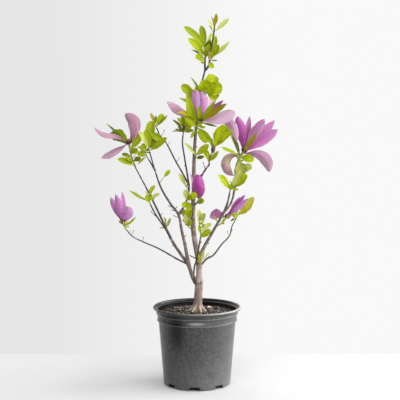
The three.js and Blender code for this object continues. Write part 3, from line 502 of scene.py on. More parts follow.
LIMBS = {
    "trunk": {
        "path": [(1, 0, 186), (2, 0, 215), (4, 0, 249), (5, 0, 278), (4, 1, 320), (-7, 3, 382), (-11, 4, 431),
                 (-9, 4, 500), (-8, 4, 575), (-4, 5, 650), (4, 8, 725), (10, 8, 770), (20, 5, 813)],
        "thick": (9, 2.3), "spurs": [(0.87, -70, 20, 7)]},
    "left_bough": {
        "path": [(3, 0, 258), (-9, -2, 275), (-22, 2, 310), (-32, 6, 325), (-60, 18, 364), (-80, 30, 402),
                 (-108, 44, 459), (-128, 52, 498), (-161, 62, 559)],
        "thick": (6.9, 1.8), "slims": 0.5,
        "spurs": [(0.83, -35, 20, 15), (0.6, 60, 30, 9), (0.34, -80, 20, 9)]},
    "right_bough": {
        "path": [(4, 0, 314), (11, -4, 344), (31, -10, 384), (50, -16, 418), (66, -20, 447), (77, -22, 474),
                 (83, -22, 500)],
        "thick": (5.3, 2.4), "spurs": [(0.3, 115, 30, 8), (0.72, -30, 20, 7)]},
    "mid_left_bough": {
        "path": [(-20, 1, 305), (-26, -6, 336), (-31, -18, 367), (-39, -32, 405), (-47, -46, 448),
                 (-67, -60, 478), (-90, -78, 520), (-105, -95, 567), (-118, -106, 615)],
        "thick": (5.6, 1.7), "slims": 0.7,
        "spurs": [(0.42, -75, 30, 17), (0.26, 70, 20, 9), (0.44, 55, 20, 12), (0.48, -85, 10, 12),
                  (0.5, 50, 25, 9), (0.52, -80, 15, 12)]},
    "low_left_branch": {
        "path": [(-24, 2, 314), (-33, -4, 319), (-53, -16, 331), (-97, -44, 361), (-135, -64, 381),
                 (-162, -78, 397), (-178, -86, 416)],
        "thick": (2.7, 1.5), "spurs": [(0.93, 20, 20, 8), (0.9, 35, -20, 13), (0.72, 10, 10, 11)]},
    "low_right_branch": {
        "path": [(5, 1, 304), (23, 16, 324), (43, 28, 334), (63, 44, 358), (85, 60, 380), (91, 68, 402),
                 (101, 76, 420)],
        "thick": (3, 1.5), "spurs": [(0.2, 35, 30, 10), (0.72, -20, 30, 16), (0.74, 25, 20, 16)]},
    "right_upper_branch": {
        "path": [(66, -19, 448), (82, -8, 466), (89, -2, 478), (93, 4, 490)],
        "thick": (3.6, 2.6), "spurs": []},
    "upright_branch": {
        "path": [(-47, -46, 449), (-31, -34, 472), (-22, -12, 500), (-22, 14, 524), (-32, 40, 584),
                 (-38, 52, 623), (-36, 56, 651)],
        "thick": (2.9, 1.8), "spurs": [(0.62, -60, 10, 5)]},
    "upper_left_branch": {
        "path": [(-21, 8, 519), (-38, 34, 548), (-56, 58, 577), (-80, 82, 621), (-97, 92, 641),
                 (-107, 98, 662)],
        "thick": (2.4, 1.6), "spurs": [(0.42, 40, 20, 14), (0.7, 40, -20, 10), (0.86, 34, 20, 19)]},
    "inner_right_branch": {
        "path": [(-9, 3, 507), (2, -22, 530), (13, -45, 550), (24, -63, 569), (31, -70, 578)],
        "thick": (2.9, 2.1), "spurs": [(0.6, 20, 30, 11), (0.82, -20, 20, 18)]},
    "rear_branch": {
        "path": [(-9, 4, 530), (-9, 40, 583), (-5, 82, 638), (2, 110, 690)],
        "thick": (2.8, 1.8), "spurs": [(0.5, 60, -30, 10), (0.7, -50, -20, 12)]},
    "side_twig": {
        "path": [(-68, 23, 376), (-82, 0, 406), (-105, -24, 445), (-119, -36, 474)],
        "thick": (2.3, 1.8), "spurs": [(0.66, -50, 20, 22)]},
    "mid_left_twig": {
        "path": [(-104, -94, 565), (-112, -88, 578), (-125, -78, 598)], "thick": (1.9, 1.5), "spurs": []},
    "centre_twig": {
        "path": [(-1, -3, 262), (-8, -14, 282), (-7, -16, 308), (-1, -17, 330), (5, -20, 364), (9, -22, 387)],
        "thick": (2.4, 2), "spurs": [(0.86, 40, 20, 9)]},
    "cross_twig": {
        "path": [(2, 1, 327), (-7, -8, 332), (-19, -19, 340)], "thick": (1.6, 1.2), "spurs": []},
}
STOUT = ("trunk", "left_bough", "right_bough", "mid_left_bough", "low_left_branch", "low_right_branch",
         "right_upper_branch")
SKIN_VOXEL = 0.9 * MM
ROD_STEP, SAMPLE_STEP = 2.5, 1.5
FORK_LEVEL, FORK_BLEND, STUMP_WIDEN = 282, 12, 0.28
TOE_BEARINGS = (-12, -64, -128, 176, 96)
TOE_ROUTE = [(3, 218, 6), (8, 206, 5.4), (15, 197, 4.3), (23, 190.5, 2.9)]   # out, up, radius
STUB_LEVEL, STUB_BEARING, STUB_REACH, STUB_RADIUS = 268, -46, 13.2, 4.2
CREASE_LEVEL, CREASE_BEARING, CREASE_OUT = 264.5, -80, 11
FRESH_LEVELS = (264, 268, 286, 308)          # paler young bark on the trunk above the stub
RING_STEP, RING_WIDTH, RING_STRAY, RING_SCATTER = 27, 0.9, 0.3, 12.9898
RING_RISE, LUMP_RISE, FURROW_RISE = 0.16, 0.035, 0.05
SCAR_DEPTH, CREASE_DEPTH = 0.8, 1.1
CREASE_TALL, CREASE_FADE, CREASE_REACH = 1.3, 1.9, 4.4
FORK_MOSS, MOSS_REACH = (13, -9, 336), 17
FOOT_PALE_TOP, FOOT_PALE_FADE = 212, 16
LIMB_APART = 1000     # longer than any limb; the trunk comes first, so its points lie below this
SKIN_BLOCK = 4000


class Route:
    """The smooth line through the points of a path, measured along its length."""

    def __init__(self, path, parts=24):
        knots = [np.array(p, float) for p in path]
        knots = [2 * knots[0] - knots[1], *knots, 2 * knots[-1] - knots[-2]]
        points = []
        for p0, p1, p2, p3 in zip(knots, knots[1:], knots[2:], knots[3:]):
            start, end = (p2 - p0) / 2, (p3 - p1) / 2
            for t in np.arange(parts) / parts:
                square = 3 * (p2 - p1) - 2 * start - end
                cube = 2 * (p1 - p2) + start + end
                points.append(p1 + start * t + square * t ** 2 + cube * t ** 3)
        self.points = np.array([*points, knots[-2]])
        steps = np.linalg.norm(np.diff(self.points, axis=0), axis=1)
        self.gone = np.concatenate([[0], np.cumsum(steps)])
        self.length = self.gone[-1]

    def at(self, share):
        return Vector([np.interp(share * self.length, self.gone, self.points[:, k]) for k in range(3)])

    def along(self, share):
        return (self.at(min(1, share + 1e-3)) - self.at(max(0, share - 1e-3))).normalized()


routes = {name: Route(limb["path"]) for name, limb in LIMBS.items()}


def limb_radius(name, share):
    """The radius of a limb along its length: it slims evenly, or sooner where it gives off a big fork."""
    foot, tip = LIMBS[name]["thick"]
    radius = foot + (tip - foot) * share ** LIMBS[name].get("slims", 1)
    if name == "trunk":
        t = min(1, max(0, (FORK_LEVEL - routes[name].at(share).z + FORK_BLEND) / (2 * FORK_BLEND)))
        radius *= 1 + STUMP_WIDEN * t * t * (3 - 2 * t)
    return radius


def rod(points, radii):
    """A round rod along some points, made as a bevelled curve and turned into a mesh."""
    data = bpy.data.curves.new("rod", "CURVE")
    data.dimensions = "3D"
    data.bevel_depth = MM
    data.bevel_resolution = 4
    data.use_fill_caps = True
    spline = data.splines.new("POLY")
    spline.points.add(len(points) - 1)
    for point, place, radius in zip(spline.points, points, radii):
        point.co = (*(place * MM), 1)
        point.radius = radius
    made = bpy.data.objects.new("rod", data)
    bpy.context.collection.objects.link(made)
    make_active(made)
    bpy.ops.object.convert(target="MESH")
    return bpy.context.object


def beside_trunk(bearing, out, level):
    """A point at a bearing from the middle of the trunk, at its own level."""
    angle = math.radians(bearing)
    line = routes["trunk"].points
    middle = float(np.interp(level, line[:, 2], line[:, 0]))
    return Vector((middle + out * math.cos(angle), out * math.sin(angle), level))


rods = []
for name in STOUT:
    route = routes[name]
    count = max(6, round(route.length / ROD_STEP))
    shares = [i / count for i in range(count + 1)]
    rods.append(rod([route.at(s) for s in shares], [limb_radius(name, s) for s in shares]))
for bearing in TOE_BEARINGS:
    toe = Route([beside_trunk(bearing, out, level) for out, level, _ in TOE_ROUTE])
    shares = [i / 12 for i in range(13)]
    reach = [i / (len(TOE_ROUTE) - 1) for i in range(len(TOE_ROUTE))]
    radii = [float(np.interp(s, reach, [r for _, _, r in TOE_ROUTE])) for s in shares]
    rods.append(rod([toe.at(s) for s in shares], radii))
stub = [beside_trunk(STUB_BEARING, out, STUB_LEVEL + 0.25 * out) for out in (2, STUB_REACH)]
rods.append(rod(stub, [STUB_RADIUS + 1.5, STUB_RADIUS]))

deselect()
for o in rods:
    o.select_set(True)
bpy.context.view_layer.objects.active = rods[0]
bpy.ops.object.join()
wood = bpy.context.object
wood.name = "trunk_and_boughs"
wood.data.name = "trunk_and_boughs"
apply_modifier(wood, "REMESH", mode="VOXEL", voxel_size=SKIN_VOXEL, adaptivity=0)
apply_modifier(wood, "SMOOTH", factor=0.6, iterations=5)

# Every point of the skin is told which limb it belongs to, how far along it lies and how thick it is there.
samples, sample_along, sample_radius = [], [], []
for name in STOUT:
    route = routes[name]
    count = round(route.length / SAMPLE_STEP)
    for i in range(count + 1):
        samples.append(route.at(i / count))
        sample_along.append(route.length * i / count + LIMB_APART * STOUT.index(name))
        sample_radius.append(limb_radius(name, i / count))
samples = np.array(samples)
sample_along = np.array(sample_along)
sample_radius = np.array(sample_radius)
skin = np.empty(len(wood.data.vertices) * 3)
wood.data.vertices.foreach_get("co", skin)
skin = skin.reshape(-1, 3) / MM
nearest = np.empty(len(skin), int)
for start in range(0, len(skin), SKIN_BLOCK):
    block = skin[start:start + SKIN_BLOCK]
    gap = np.linalg.norm(block[:, None] - samples[None], axis=2) / sample_radius
    nearest[start:start + SKIN_BLOCK] = gap.argmin(axis=1)
aside = skin - samples[nearest]
along = sample_along[nearest]
girth = sample_radius[nearest]

# Rings of old bud scars stand round each limb, furrows run along it, and low lumps break up its outline.
ring_noise = np.sin(np.floor(along / RING_STEP) * RING_SCATTER) * 0.5
from_ring = (along / RING_STEP + RING_STRAY * ring_noise) % 1 - 0.5
rings = np.exp(-(from_ring * RING_STEP / RING_WIDTH) ** 2)
lumps = np.array([noise.noise(Vector(p) / 9) for p in skin])
furrows = np.array([noise.noise(Vector((a[0] / 1.6, a[1] / 1.6, s / 11))) for a, s in zip(aside, along)])
raised = (LUMP_RISE * girth * lumps + FURROW_RISE * girth ** 0.5 * furrows + RING_RISE * rings) * MM
stub_end = np.array(stub[1])
from_stub = np.linalg.norm(skin - stub_end, axis=1)
scar = np.clip(1.25 - from_stub / (0.62 * STUB_RADIUS), 0, 1)
below_stub = np.array(beside_trunk(CREASE_BEARING, CREASE_OUT, CREASE_LEVEL))
crease = np.exp(-((skin[:, 2] - below_stub[2]) / CREASE_TALL) ** 2) * np.clip(
    CREASE_FADE - np.linalg.norm(skin[:, :2] - below_stub[:2], axis=1) / CREASE_REACH, 0, 1)
raised -= (SCAR_DEPTH * scar + CREASE_DEPTH * crease) * MM
normals = np.empty(len(skin) * 3)
wood.data.vertices.foreach_get("normal", normals)
moved = skin * MM + normals.reshape(-1, 3) * raised[:, None]
wood.data.vertices.foreach_set("co", moved.ravel())
moss = np.clip(1.3 - np.linalg.norm(skin - FORK_MOSS, axis=1) / MOSS_REACH, 0, 1)
fresh = np.interp(skin[:, 2], FRESH_LEVELS, (0, 1, 1, 0)) * (along < LIMB_APART)


def give(obj, name, values):
    made = obj.data.attributes.new(name, "FLOAT", "POINT")
    made.data.foreach_set("value", np.asarray(values, np.float32))


grain_place = wood.data.attributes.new("pattern", "FLOAT_VECTOR", "POINT")
grain_place.data.foreach_set("vector", np.column_stack([aside * MM, along * MM])[:, [0, 1, 3]].ravel())
give(wood, "girth", girth)
# The scar mask darkens the stub's sunken end, and paints shade into the crease beneath the stub.
give(wood, "scar", np.maximum(0.35 * scar, crease))
give(wood, "moss", moss)
give(wood, "fresh", fresh)
give(wood, "foot", np.clip((FOOT_PALE_TOP - skin[:, 2]) / FOOT_PALE_FADE, 0, 1))
for polygon in wood.data.polygons:
    polygon.use_smooth = True
wood.data.update()

bark, tree, shader = new_material("grey_brown_bark", Roughness=0.82)
pattern = stored(tree, "pattern", "Vector")
streaks = stretched(tree, pattern, 1, 1, 0.12)
lenticels = node(tree, "TexVoronoi", {"Vector": stretched(tree, pattern, 0.45, 0.45, 1.6), "Scale": 420})
spots = ramp(tree, lenticels.outputs["Distance"], 0.16, 0.1)
tone = mixed(tree, ramp(tree, stored(tree, "girth"), 1.6, 4.4), colour(46, 39, 38), colour(100, 88, 84))
tone = mixed(tree, ramp(tree, stored(tree, "girth"), 2.6, 8.6), tone, colour(160, 140, 128))
for mask, strength, tint in (
        (stored(tree, "foot"), 0.85, (222, 202, 172)),
        (mottled(tree, streaks, 900, 0.46, 0.7), 0.5, (58, 46, 41)),
        (mottled(tree, stretched(tree, pattern, 1, 1, 0.35), 210, 0.5, 0.6), 0.6, (96, 68, 44)),
        (stored(tree, "fresh"), 0.35, (210, 200, 200)),
        (mottled(tree, own_place(tree), 95, 0.52, 0.72), 0.5, (208, 198, 196)),
        (spots, 0.5, (190, 172, 150)),
        (stored(tree, "moss"), 0.6, (168, 168, 60)),
        # The stub's end darkened, and painted shade in the crease under the stub.
        (stored(tree, "scar"), 0.95, (52, 38, 32))):
    tone = tinted(tree, tone, mask, strength, tint)
tree.links.new(tone, shader.inputs["Base Color"])
bumped(tree, shader, maths(tree, "ADD", grained(tree, streaks, 1300, 3), spots), 0.6, 0.35 * MM)

wood.data.materials.clear()
wood.data.materials.append(bark)
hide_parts(*STOUT)
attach(wood, "root")


# ---------------------------------------------------------------- thin branches and pegs
# The thinner limbs, dark and smooth, with a swollen collar where each leaves its parent. Short bare pegs and
# small shoots with a bud at the tip stand on them and on the boughs.

THIN = tuple(name for name in LIMBS if name not in STOUT)
LEAFY_PEGS = ("low_left_branch", "low_right_branch", "upper_left_branch", "left_bough")
COLLAR_REACH, COLLAR_SWELL = 7, 0.55
THIN_RING_STEP, THIN_RING_SWELL = 19, 0.13
THIN_STEP, THIN_SIDES, PEG_SIDES = 1.6, 9, 6
PEG_STALK = (0, 0.3, 0.55, 0.78)
PEG_BUD = ((-0.02, 0.6), (0.05, 1.15), (0.14, 1.3), (0.24, 0.8), (0.32, 0.15))     # along, radius


def heading(lean, front):
    """A direction from its lean in the view from the front, and its turn towards the front, in degrees."""
    a, b = math.radians(lean), math.radians(front)
    return Vector((math.sin(a) * math.cos(b), -math.sin(b), math.cos(a) * math.cos(b)))


def hoops(rings, sides):
    """The faces between each ring of points and the next."""
    return [(start + k, start + (k + 1) % sides, start + sides + (k + 1) % sides, start + sides + k)
            for start in range(0, (rings - 1) * sides, sides) for k in range(sides)]


def tube(points, radii, sides):
    """Rings of points round a line, closed at both ends: vertices, faces and how far along each one lies."""
    tangents = [(b - a).normalized() for a, b in zip(points, points[1:])]
    tangents = [tangents[0], *[(a + b).normalized() for a, b in zip(tangents, tangents[1:])], tangents[-1]]
    across = tangents[0].orthogonal().normalized()
    vertices, patterns, gone = [], [], 0
    for i, (point, radius, tangent) in enumerate(zip(points, radii, tangents)):
        across = (across - tangent * across.dot(tangent)).normalized()
        other = tangent.cross(across)
        gone += (point - points[i - 1]).length if i else 0
        for k in range(sides):
            angle = 2 * math.pi * k / sides
            out = (across * math.cos(angle) + other * math.sin(angle)) * radius
            vertices.append((point + out) * MM)
            patterns.append((out.x * MM, out.y * MM, gone * MM))
    faces = [tuple(range(sides))[::-1], tuple(range(len(vertices) - sides, len(vertices)))]
    return vertices, faces + hoops(len(points), sides), patterns


branches = Batch()
branch_girth = []


def add_tube(batch, girths, points, radii, sides, finish=0):
    vertices, faces, patterns = tube(points, radii, sides)
    batch.add(vertices, faces, finish, patterns)
    if girths is not None:
        girths += [radius for radius in radii for _ in range(sides)]
    return len(vertices)


def ringed(radius, gone):
    """A thin limb's radius with its ring scars."""
    off = (gone / THIN_RING_STEP) % 1 - 0.5
    return radius * (1 + THIN_RING_SWELL * math.exp(-(off * THIN_RING_STEP / RING_WIDTH) ** 2))


for name in THIN:
    route = routes[name]
    count = round(route.length / THIN_STEP)
    points, radii = [], []
    for i in range(count + 1):
        gone = route.length * i / count
        swell = COLLAR_SWELL * math.exp(-max(0, gone - LIMBS[name]["thick"][0]) / COLLAR_REACH)
        points.append(route.at(i / count))
        radii.append(ringed(limb_radius(name, i / count), gone) * (1 + swell))
    add_tube(branches, branch_girth, points, radii, THIN_SIDES)

pegs = Batch()
for name, limb in LIMBS.items():
    for along_limb, lean, front, length in limb["spurs"]:
        root = routes[name].at(along_limb)
        way = heading(lean, front)
        bend = heading(lean * 0.5, front)
        stalk = [root + way * length * t + bend * length * 0.25 * t * t for t in PEG_STALK]
        leafy = name in LEAFY_PEGS
        if leafy:
            add_tube(pegs, None, stalk, (1.2, 0.8, 0.7, 0.6), PEG_SIDES, 0)
        else:
            add_tube(branches, branch_girth, stalk, (1.5, 1, 0.9, 0.8), PEG_SIDES)
        tip = [stalk[-1] + bend * length * t for t, _ in PEG_BUD]
        add_tube(pegs, None, tip, [radius for _, radius in PEG_BUD], PEG_SIDES, 0 if leafy else 1)

thin_wood = branches.build("thin_branches", [bark], 60)
give(thin_wood, "girth", branch_girth)
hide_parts(*THIN)
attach(thin_wood, "root")


# ---------------------------------------------------------------- leafy shoots
# This year's green shoots stand on the ends of the limbs. Each carries leaves on short stalks and small side
# twigs set round it by the golden angle, and these fork again into finer twigs with smaller leaves.

# stem, side: where a shoot's middle runs, from inside the wood; thick: its radius at foot and tip.
# leaves, tepals: how far up the stem (1 to 2 is along the side shoot), lean, turn to the front, length,
# width, roll, curl back, bow sideways, sway to and fro; tones, petals: the finish of each, by its letter.
# heart: the radius and length of a flower's middle, or of the closed bud.
SPRAYS = {
    "top_leaves": {
        "stem": [(19, 5, 811), (30, 2, 826), (35, -3, 859), (41, -6, 894), (45, -8, 930)], "thick": (3, 1.8),
        "side": [(20.5, 5, 816), (20, 11, 832), (21, 14, 851), (19, 16, 868)],
        "leaves": [
            (1.98, -44, 15, 81, 22, 5, 15, -12), (1.92, -8, -20, 69, 18, 10, 15),
            (1.6, -43, 30, 75, 21, 10, 20), (1.97, 21, -30, 52, 9, 30, 15), (1.5, -57, -20, 47, 10, 40, 15),
            (1.4, -63, 35, 35, 18, 10, 20), (1.52, 14, 40, 52, 17, 10, 20), (0.3, 4, -45, 59, 16, 10, 15),
            (0.37, 16, -35, 57, 18, 10, 15), (0.31, 34, 25, 44, 17, 15, 20), (0.29, 48, 15, 70, 12, 35, 15),
            (0.83, -29, 30, 45, 8, 30, 15), (0.83, 47, -15, 54, 12, 20, 10), (0.93, 7, 25, 38, 11, 0, 10),
            (0.9, -14, -20, 35, 5, 40, 10), (0.23, 160, 30, 22, 14, 15, 10), (0.24, 13, 40, 34, 13, 20, 10),
            (0.26, 93, 10, 20, 4, 30, 10), (1.3, -84, 30, 12, 7, 20, 10), (1.7, 20, 45, 56, 17, 10, 15),
        ],
        "tones": "FFLFMLFMLFPPPOMLFMLM", "sprigs": 2, "leaf": 28, "seed": 11, "woody": 1.6},
    "crown_leaves_right": {
        "stem": [(6.5, 7, 739), (16, -9, 750), (23, -15, 766)], "thick": (1.8, 1.2),
        "leaves": [
            (0.44, 13, 20, 47, 31, 10, 20), (0.63, 32, -12, 57, 36, 10, 15),
            (0.82, 80, 15, 48, 34, 15, 25, 25), (0.31, 31, 50, 38, 11, 20, 20), (0.3, -29, 18, 62, 8, 45, 15),
            (0.92, 122, -10, 38, 24, 20, 15), (0.7, 46, 30, 38, 30, 5, 10),
        ],
        "tones": "LLGPMLL", "sprigs": 2, "leaf": 26, "seed": 5, "woody": 0.3},
    "crown_leaves_left": {
        "stem": [(3, 9, 700), (-8, 21, 709), (-18, 26, 734)], "thick": (1.8, 1.2),
        "leaves": [
            (0.99, -32, 22, 54, 24, 10, 20, -50), (0.5, -20, -20, 47, 24, 15, 15),
            (0.66, -57, -35, 50, 9, 30, 15), (0.8, 20, -50, 44, 15, 20, 15),
        ],
        "tones": "LLPF", "sprigs": 3, "leaf": 30, "seed": 8, "woody": 0.3},
    "centre_bloom": {
        "stem": [(-3, 2, 657), (0, -11, 668), (6, -17, 685)], "thick": (2.4, 3), "heart": (5.5, 17),
        "tepals": [
            (0.99, -59, 20, 100, 25, 15, 15), (0.99, -13, -30, 93, 20, 25, 10),
            (0.99, -3, 14, 80, 23, -12, -12, 28), (0.99, 3, 6, 76, 24, 12, -12, -34),
            (0.99, 28, -28, 90, 23, 20, 12), (0.99, 49, 6, 79, 14, 20, 10),
            (0.99, 74, 24, 101, 32, 15, 15, -24), (0.95, 122, 6, 134, 24, 20, 20, 92),
            (0.99, 0, -66, 78, 28, 0, 15), (0.99, 62, -60, 80, 26, 10, 15),
        ],
        "petals": "LRSSWKWLLL",
        "leaves": [
            (0.8, -61, 50, 97, 14, 25, 15, -22), (0.46, -46, 40, 61, 22, 10, 15),
            (0.96, -3, 50, 69, 12, 10, 15), (0.96, 37, 25, 77, 12, 30, 10), (0.9, 55, 35, 105, 17, 20, -15),
            (0.5, 134, 25, 56, 21, 20, 25), (0.9, -27, 32, 86, 24, 0, 15, 26), (0.96, 104, 40, 63, 6, 30, 10),
            (0.3, -148, 30, 31, 9, 20, 20), (0.2, -38, 35, 66, 13, 20, 20), (0.15, 140, -20, 46, 14, 20, 20),
        ],
        "tones": "OLFFOLFMLFF", "sprigs": 3, "leaf": 28, "seed": 21, "woody": 0.3},
    "upright_leaves": {
        "stem": [(-36, 56, 649.5), (-35, 57, 661), (-38, 58, 672)], "thick": (1.7, 1.2),
        "leaves": [
            (0.34, -45, 25, 45, 9, 30, 10), (0.5, -30, -20, 36, 11, 20, 10), (0.6, -11, 30, 38, 11, 20, 10),
            (0.3, 9, -35, 44, 14, 20, 10), (0.22, 45, 15, 31, 14, 20, 10), (0.15, -85, 40, 39, 6, 30, 10),
            (0.8, 2, 5, 32, 10, 10, 10), (0.1, -70, -15, 25, 7, 30, 15), (0.5, 26, 30, 36, 12, 20, 15),
            (0.15, 78, 20, 30, 9, 20, 15), (0.1, -40, 30, 26, 8, 20, 15),
        ],
        "tones": "MFFLLMMFLFM", "sprigs": 3, "leaf": 26, "seed": 31, "woody": 0.4},
    "upper_left_leaves": {
        "stem": [(-107, 98, 660.5), (-110, 100, 667), (-112, 101, 673)], "thick": (1.5, 1.1),
        "leaves": [
            (0.5, -22, 20, 40, 11, 15, 15), (0.35, 30, -20, 40, 17, 10, 20), (0.3, 45, 30, 53, 7, 30, 10),
            (0.8, 2, -40, 30, 8, 30, 10),
        ],
        "tones": "OLFM", "sprigs": 3, "leaf": 28, "seed": 41, "woody": 0.3},
    "mid_left_leaves": {
        "stem": [(-117.5, -105.6, 613), (-121, -108, 630), (-122, -109, 645), (-119, -110, 666)],
        "thick": (1.7, 1.1),
        "leaves": [
            (0.27, 7, -10, 64, 24, 5, 15), (0.1, -7, 25, 58, 20, 0, 15), (0.1, -27, 38, 71, 14, 15, 10),
            (0.97, 127, -15, 40, 17, 15, 15), (0.04, 53, 20, 60, 17, 20, 15), (0.2, 14, -35, 50, 16, 20, 10),
            (0.1, 32, -25, 52, 18, 15, 15),
        ],
        "tones": "FLPFFFM", "sprigs": 4, "leaf": 28, "seed": 51, "woody": 0.2},
    "mid_left_low_leaves": {
        "stem": [(-124.5, -78.3, 597), (-127, -77, 604), (-129, -76, 611)], "thick": (1.4, 1),
        "leaves": [
            (0.3, -80, 25, 26, 17, 20, 20), (0.6, -45, -30, 30, 18, 20, 15), (0.2, -133, 20, 31, 9, 30, 10),
            (0.9, -18, 20, 26, 12, 20, 10),
        ],
        "tones": "FFLL", "sprigs": 2, "leaf": 20, "seed": 61, "woody": 0},
    "mid_left_leaf": {
        "stem": [(-94, -82.5, 532), (-88, -86, 541), (-83, -88, 548)], "thick": (1.1, 0.8),
        "leaves": [(0.95, 41, 10, 26, 10, 15, 10)],
        "tones": "L", "sprigs": 0, "leaf": 16, "seed": 1, "woody": 0},
    "left_bloom": {
        "stem": [(-160.4, 61.8, 558), (-172, 65, 590), (-177, 64, 621)], "thick": (2, 2.8),
        "heart": (5.5, 14),
        "tepals": [
            (0.99, -63, 12, 105, 19, 20, 8, 0, 20), (0.99, -8, 12, 91, 33, 0, 12, -72),
            (0.99, -118, 25, 86, 22, 10, 10, -6), (0.99, 52, -62, 74, 22, 0, 15),
            (0.97, 56, -80, 52, 18, 10, 15),
        ],
        "petals": "DDLDR",
        "leaves": [
            (0.88, -48, -30, 103, 9, 20, 10), (0.94, -57, -35, 74, 36, 10, 15),
            (0.76, 36, -20, 52, 21, 15, 15), (0.1, -68, 20, 52, 18, 10, 20), (0.6, 45, 30, 28, 14, 20, 15),
            (0.46, -71, 15, 28, 12, 30, 10), (0.2, -48, 35, 38, 12, 20, 10), (0.3, 62, 25, 26, 12, 20, 15),
        ],
        "tones": "MFFLFMFM", "sprigs": 3, "leaf": 30, "seed": 71, "woody": 0.4},
    "side_twig_leaves": {
        "stem": [(-118.6, -35.7, 473), (-122, -37, 485), (-120, -38, 495)], "thick": (1.7, 1.1),
        "leaves": [
            (0.42, -59, 20, 64, 10, 30, 10, 30), (0.2, -20, 40, 33, 15, 10, 15),
            (0.96, 26, 15, 36, 11, 20, 10, 40), (0.67, 67, -30, 34, 9, 25, 15, 20),
        ],
        "tones": "FLLP", "sprigs": 2, "leaf": 22, "seed": 81, "woody": 0.2},
    "left_bough_leaves": {
        "stem": [(-79, 29, 399), (-79, 20, 408), (-80, 17, 414)], "thick": (1.3, 0.9),
        "leaves": [
            (0.6, 21, 10, 28, 8, 20, 15), (0.5, -93, 20, 20, 7, 30, 10), (0.93, -17, -15, 24, 6, 30, 10),
        ],
        "tones": "PPF", "sprigs": 1, "leaf": 16, "seed": 91, "woody": 0},
    "centre_bud": {
        "stem": [(-8, 3, 466), (2.5, -16, 479), (5.4, -24, 489), (5.2, -27, 494)], "thick": (2, 3),
        "heart": (16.5, 63),
        "tepals": [
            (0.98, -5, 24, 66, 28, 10, -50), (0.98, 6, 10, 60, 16, -30, -50),
            (0.98, -6, -28, 62, 20, 20, -40), (0.9, -22, -20, 66, 10, 20, -10),
            (0.9, -9, -30, 64, 18, 10, -40),
        ],
        "petals": "BKBMB",
        "leaves": [(0.4, 67, 30, 24, 15, 10, 20)],
        "tones": "L", "sprigs": 0, "leaf": 20, "seed": 1, "woody": 0.4},
    "trunk_sprout_leaves": {
        "stem": [(-10, 3, 403), (-24, -10, 415), (-25, -14, 434)], "thick": (1.5, 1.1),
        "leaves": [
            (0.94, -33, 20, 34, 18, 15, 20), (0.86, 5, 30, 50, 18, 10, 15), (0.6, -12, 45, 47, 16, 20, 15),
            (0.75, 15, -25, 34, 12, 30, 10), (0.4, -37, 20, 29, 14, 20, 15), (0.5, 30, 40, 28, 12, 20, 15),
        ],
        "tones": "FGPFLL", "sprigs": 1, "leaf": 22, "seed": 101, "woody": 0.3},
    "inner_leaves": {
        "stem": [(-29, -30, 476), (-25, -41, 484), (-24, -44, 490)], "thick": (1.4, 1),
        "leaves": [
            (0.7, -11, 20, 32, 16, 10, 15), (0.75, 41, 45, 25, 13, 10, 15), (0.95, 59, 10, 28, 17, 20, 15),
            (0.6, -152, 35, 22, 16, 20, 15), (0.5, 150, 25, 26, 16, 10, 15),
        ],
        "tones": "PFLLG", "sprigs": 1, "leaf": 18, "seed": 1, "woody": 0.3},
    "inner_left_leaf": {
        "stem": [(-21.5, 4, 508), (-28, -7, 516), (-30, -9, 520)], "thick": (1.2, 0.9),
        "leaves": [(0.8, -28, 15, 40, 12, 15, 15), (0.7, 29, 40, 22, 7, 20, 15)],
        "tones": "PF", "sprigs": 0, "leaf": 18, "seed": 1, "woody": 0.3},
    "centre_twig_leaves": {
        "stem": [(9, -22, 385.5), (10, -24, 401), (8, -25, 417), (3, -26, 431)], "thick": (1.8, 1),
        "leaves": [
            (0.02, 48, 25, 38, 17, 5, 15), (0.36, 56, -20, 36, 12, 20, 15, 30),
            (0.2, -16, 35, 34, 10, 15, 10), (0.94, 0, -15, 30, 13, 15, 15), (0.98, 42, 30, 32, 15, 15, 20),
        ],
        "tones": "LPFPP", "sprigs": 2, "leaf": 20, "seed": 111, "woody": 0.3},
    "inner_right_leaves": {
        "stem": [(30.6, -69.6, 576.6), (31, -78, 593), (37, -84, 608), (45, -88, 633)], "thick": (2, 1.2),
        "leaves": [
            (0.8, 31, 10, 66, 36, 5, 15), (0.97, 48, -30, 66, 9, 30, 15), (0.75, 18, 30, 66, 14, 20, 10),
            (0.2, -23, -25, 32, 15, 15, 15), (0.16, 38, 30, 43, 11, 25, 15), (0.84, -34, -40, 40, 13, 20, 15),
            (0.97, 52, 25, 60, 17, 15, 15), (0.1, -8, 20, 30, 12, 15, 15), (0.9, -52, -30, 44, 16, 15, 20),
        ],
        "tones": "GMLLFMGLF", "sprigs": 4, "leaf": 26, "seed": 121, "woody": 0.5},
    "right_bough_leaves": {
        "stem": [(83, -22, 498.4), (84, -23, 506), (85, -24, 513)], "thick": (2.3, 1.4),
        "leaves": [
            (0.8, -38, 25, 57, 19, 5, 20), (0.6, 31, -35, 38, 9, 20, 15), (0.7, 13, 50, 30, 13, 20, 15),
            (0.85, 28, 15, 58, 15, 10, 15),
        ],
        "tones": "LFLP", "sprigs": 2, "leaf": 24, "seed": 131, "woody": 0.4},
    "right_bloom": {
        "stem": [(92.7, 3.6, 488.8), (98, 12, 519), (101, 20, 562), (109, 22, 585), (119, 24, 603)],
        "thick": (2.6, 3.8), "heart": (6, 18),
        "tepals": [
            (0.99, -10, 15, 97, 29, 5, -10, -14), (0.99, 11, -16, 96, 16, 20, 5),
            (0.99, 32, 12, 103, 28, 20, 5), (0.99, 33, 30, 113, 18, 20, 0, 6),
            (0.99, 46, -20, 122, 26, 15, 5), (0.97, 55, 12, 109, 28, 15, 10),
            (0.96, 127, 20, 98, 30, 10, 15, 78), (0.93, -163, 22, 110, 15, 25, 10, -150),
            (0.93, -160, 6, 96, 24, 10, 15, -135), (0.99, 24, -64, 88, 28, 0, 15),
            (0.98, 62, -60, 80, 26, 10, 15),
        ],
        "petals": "KRRSRPLDCKR",
        "leaves": [
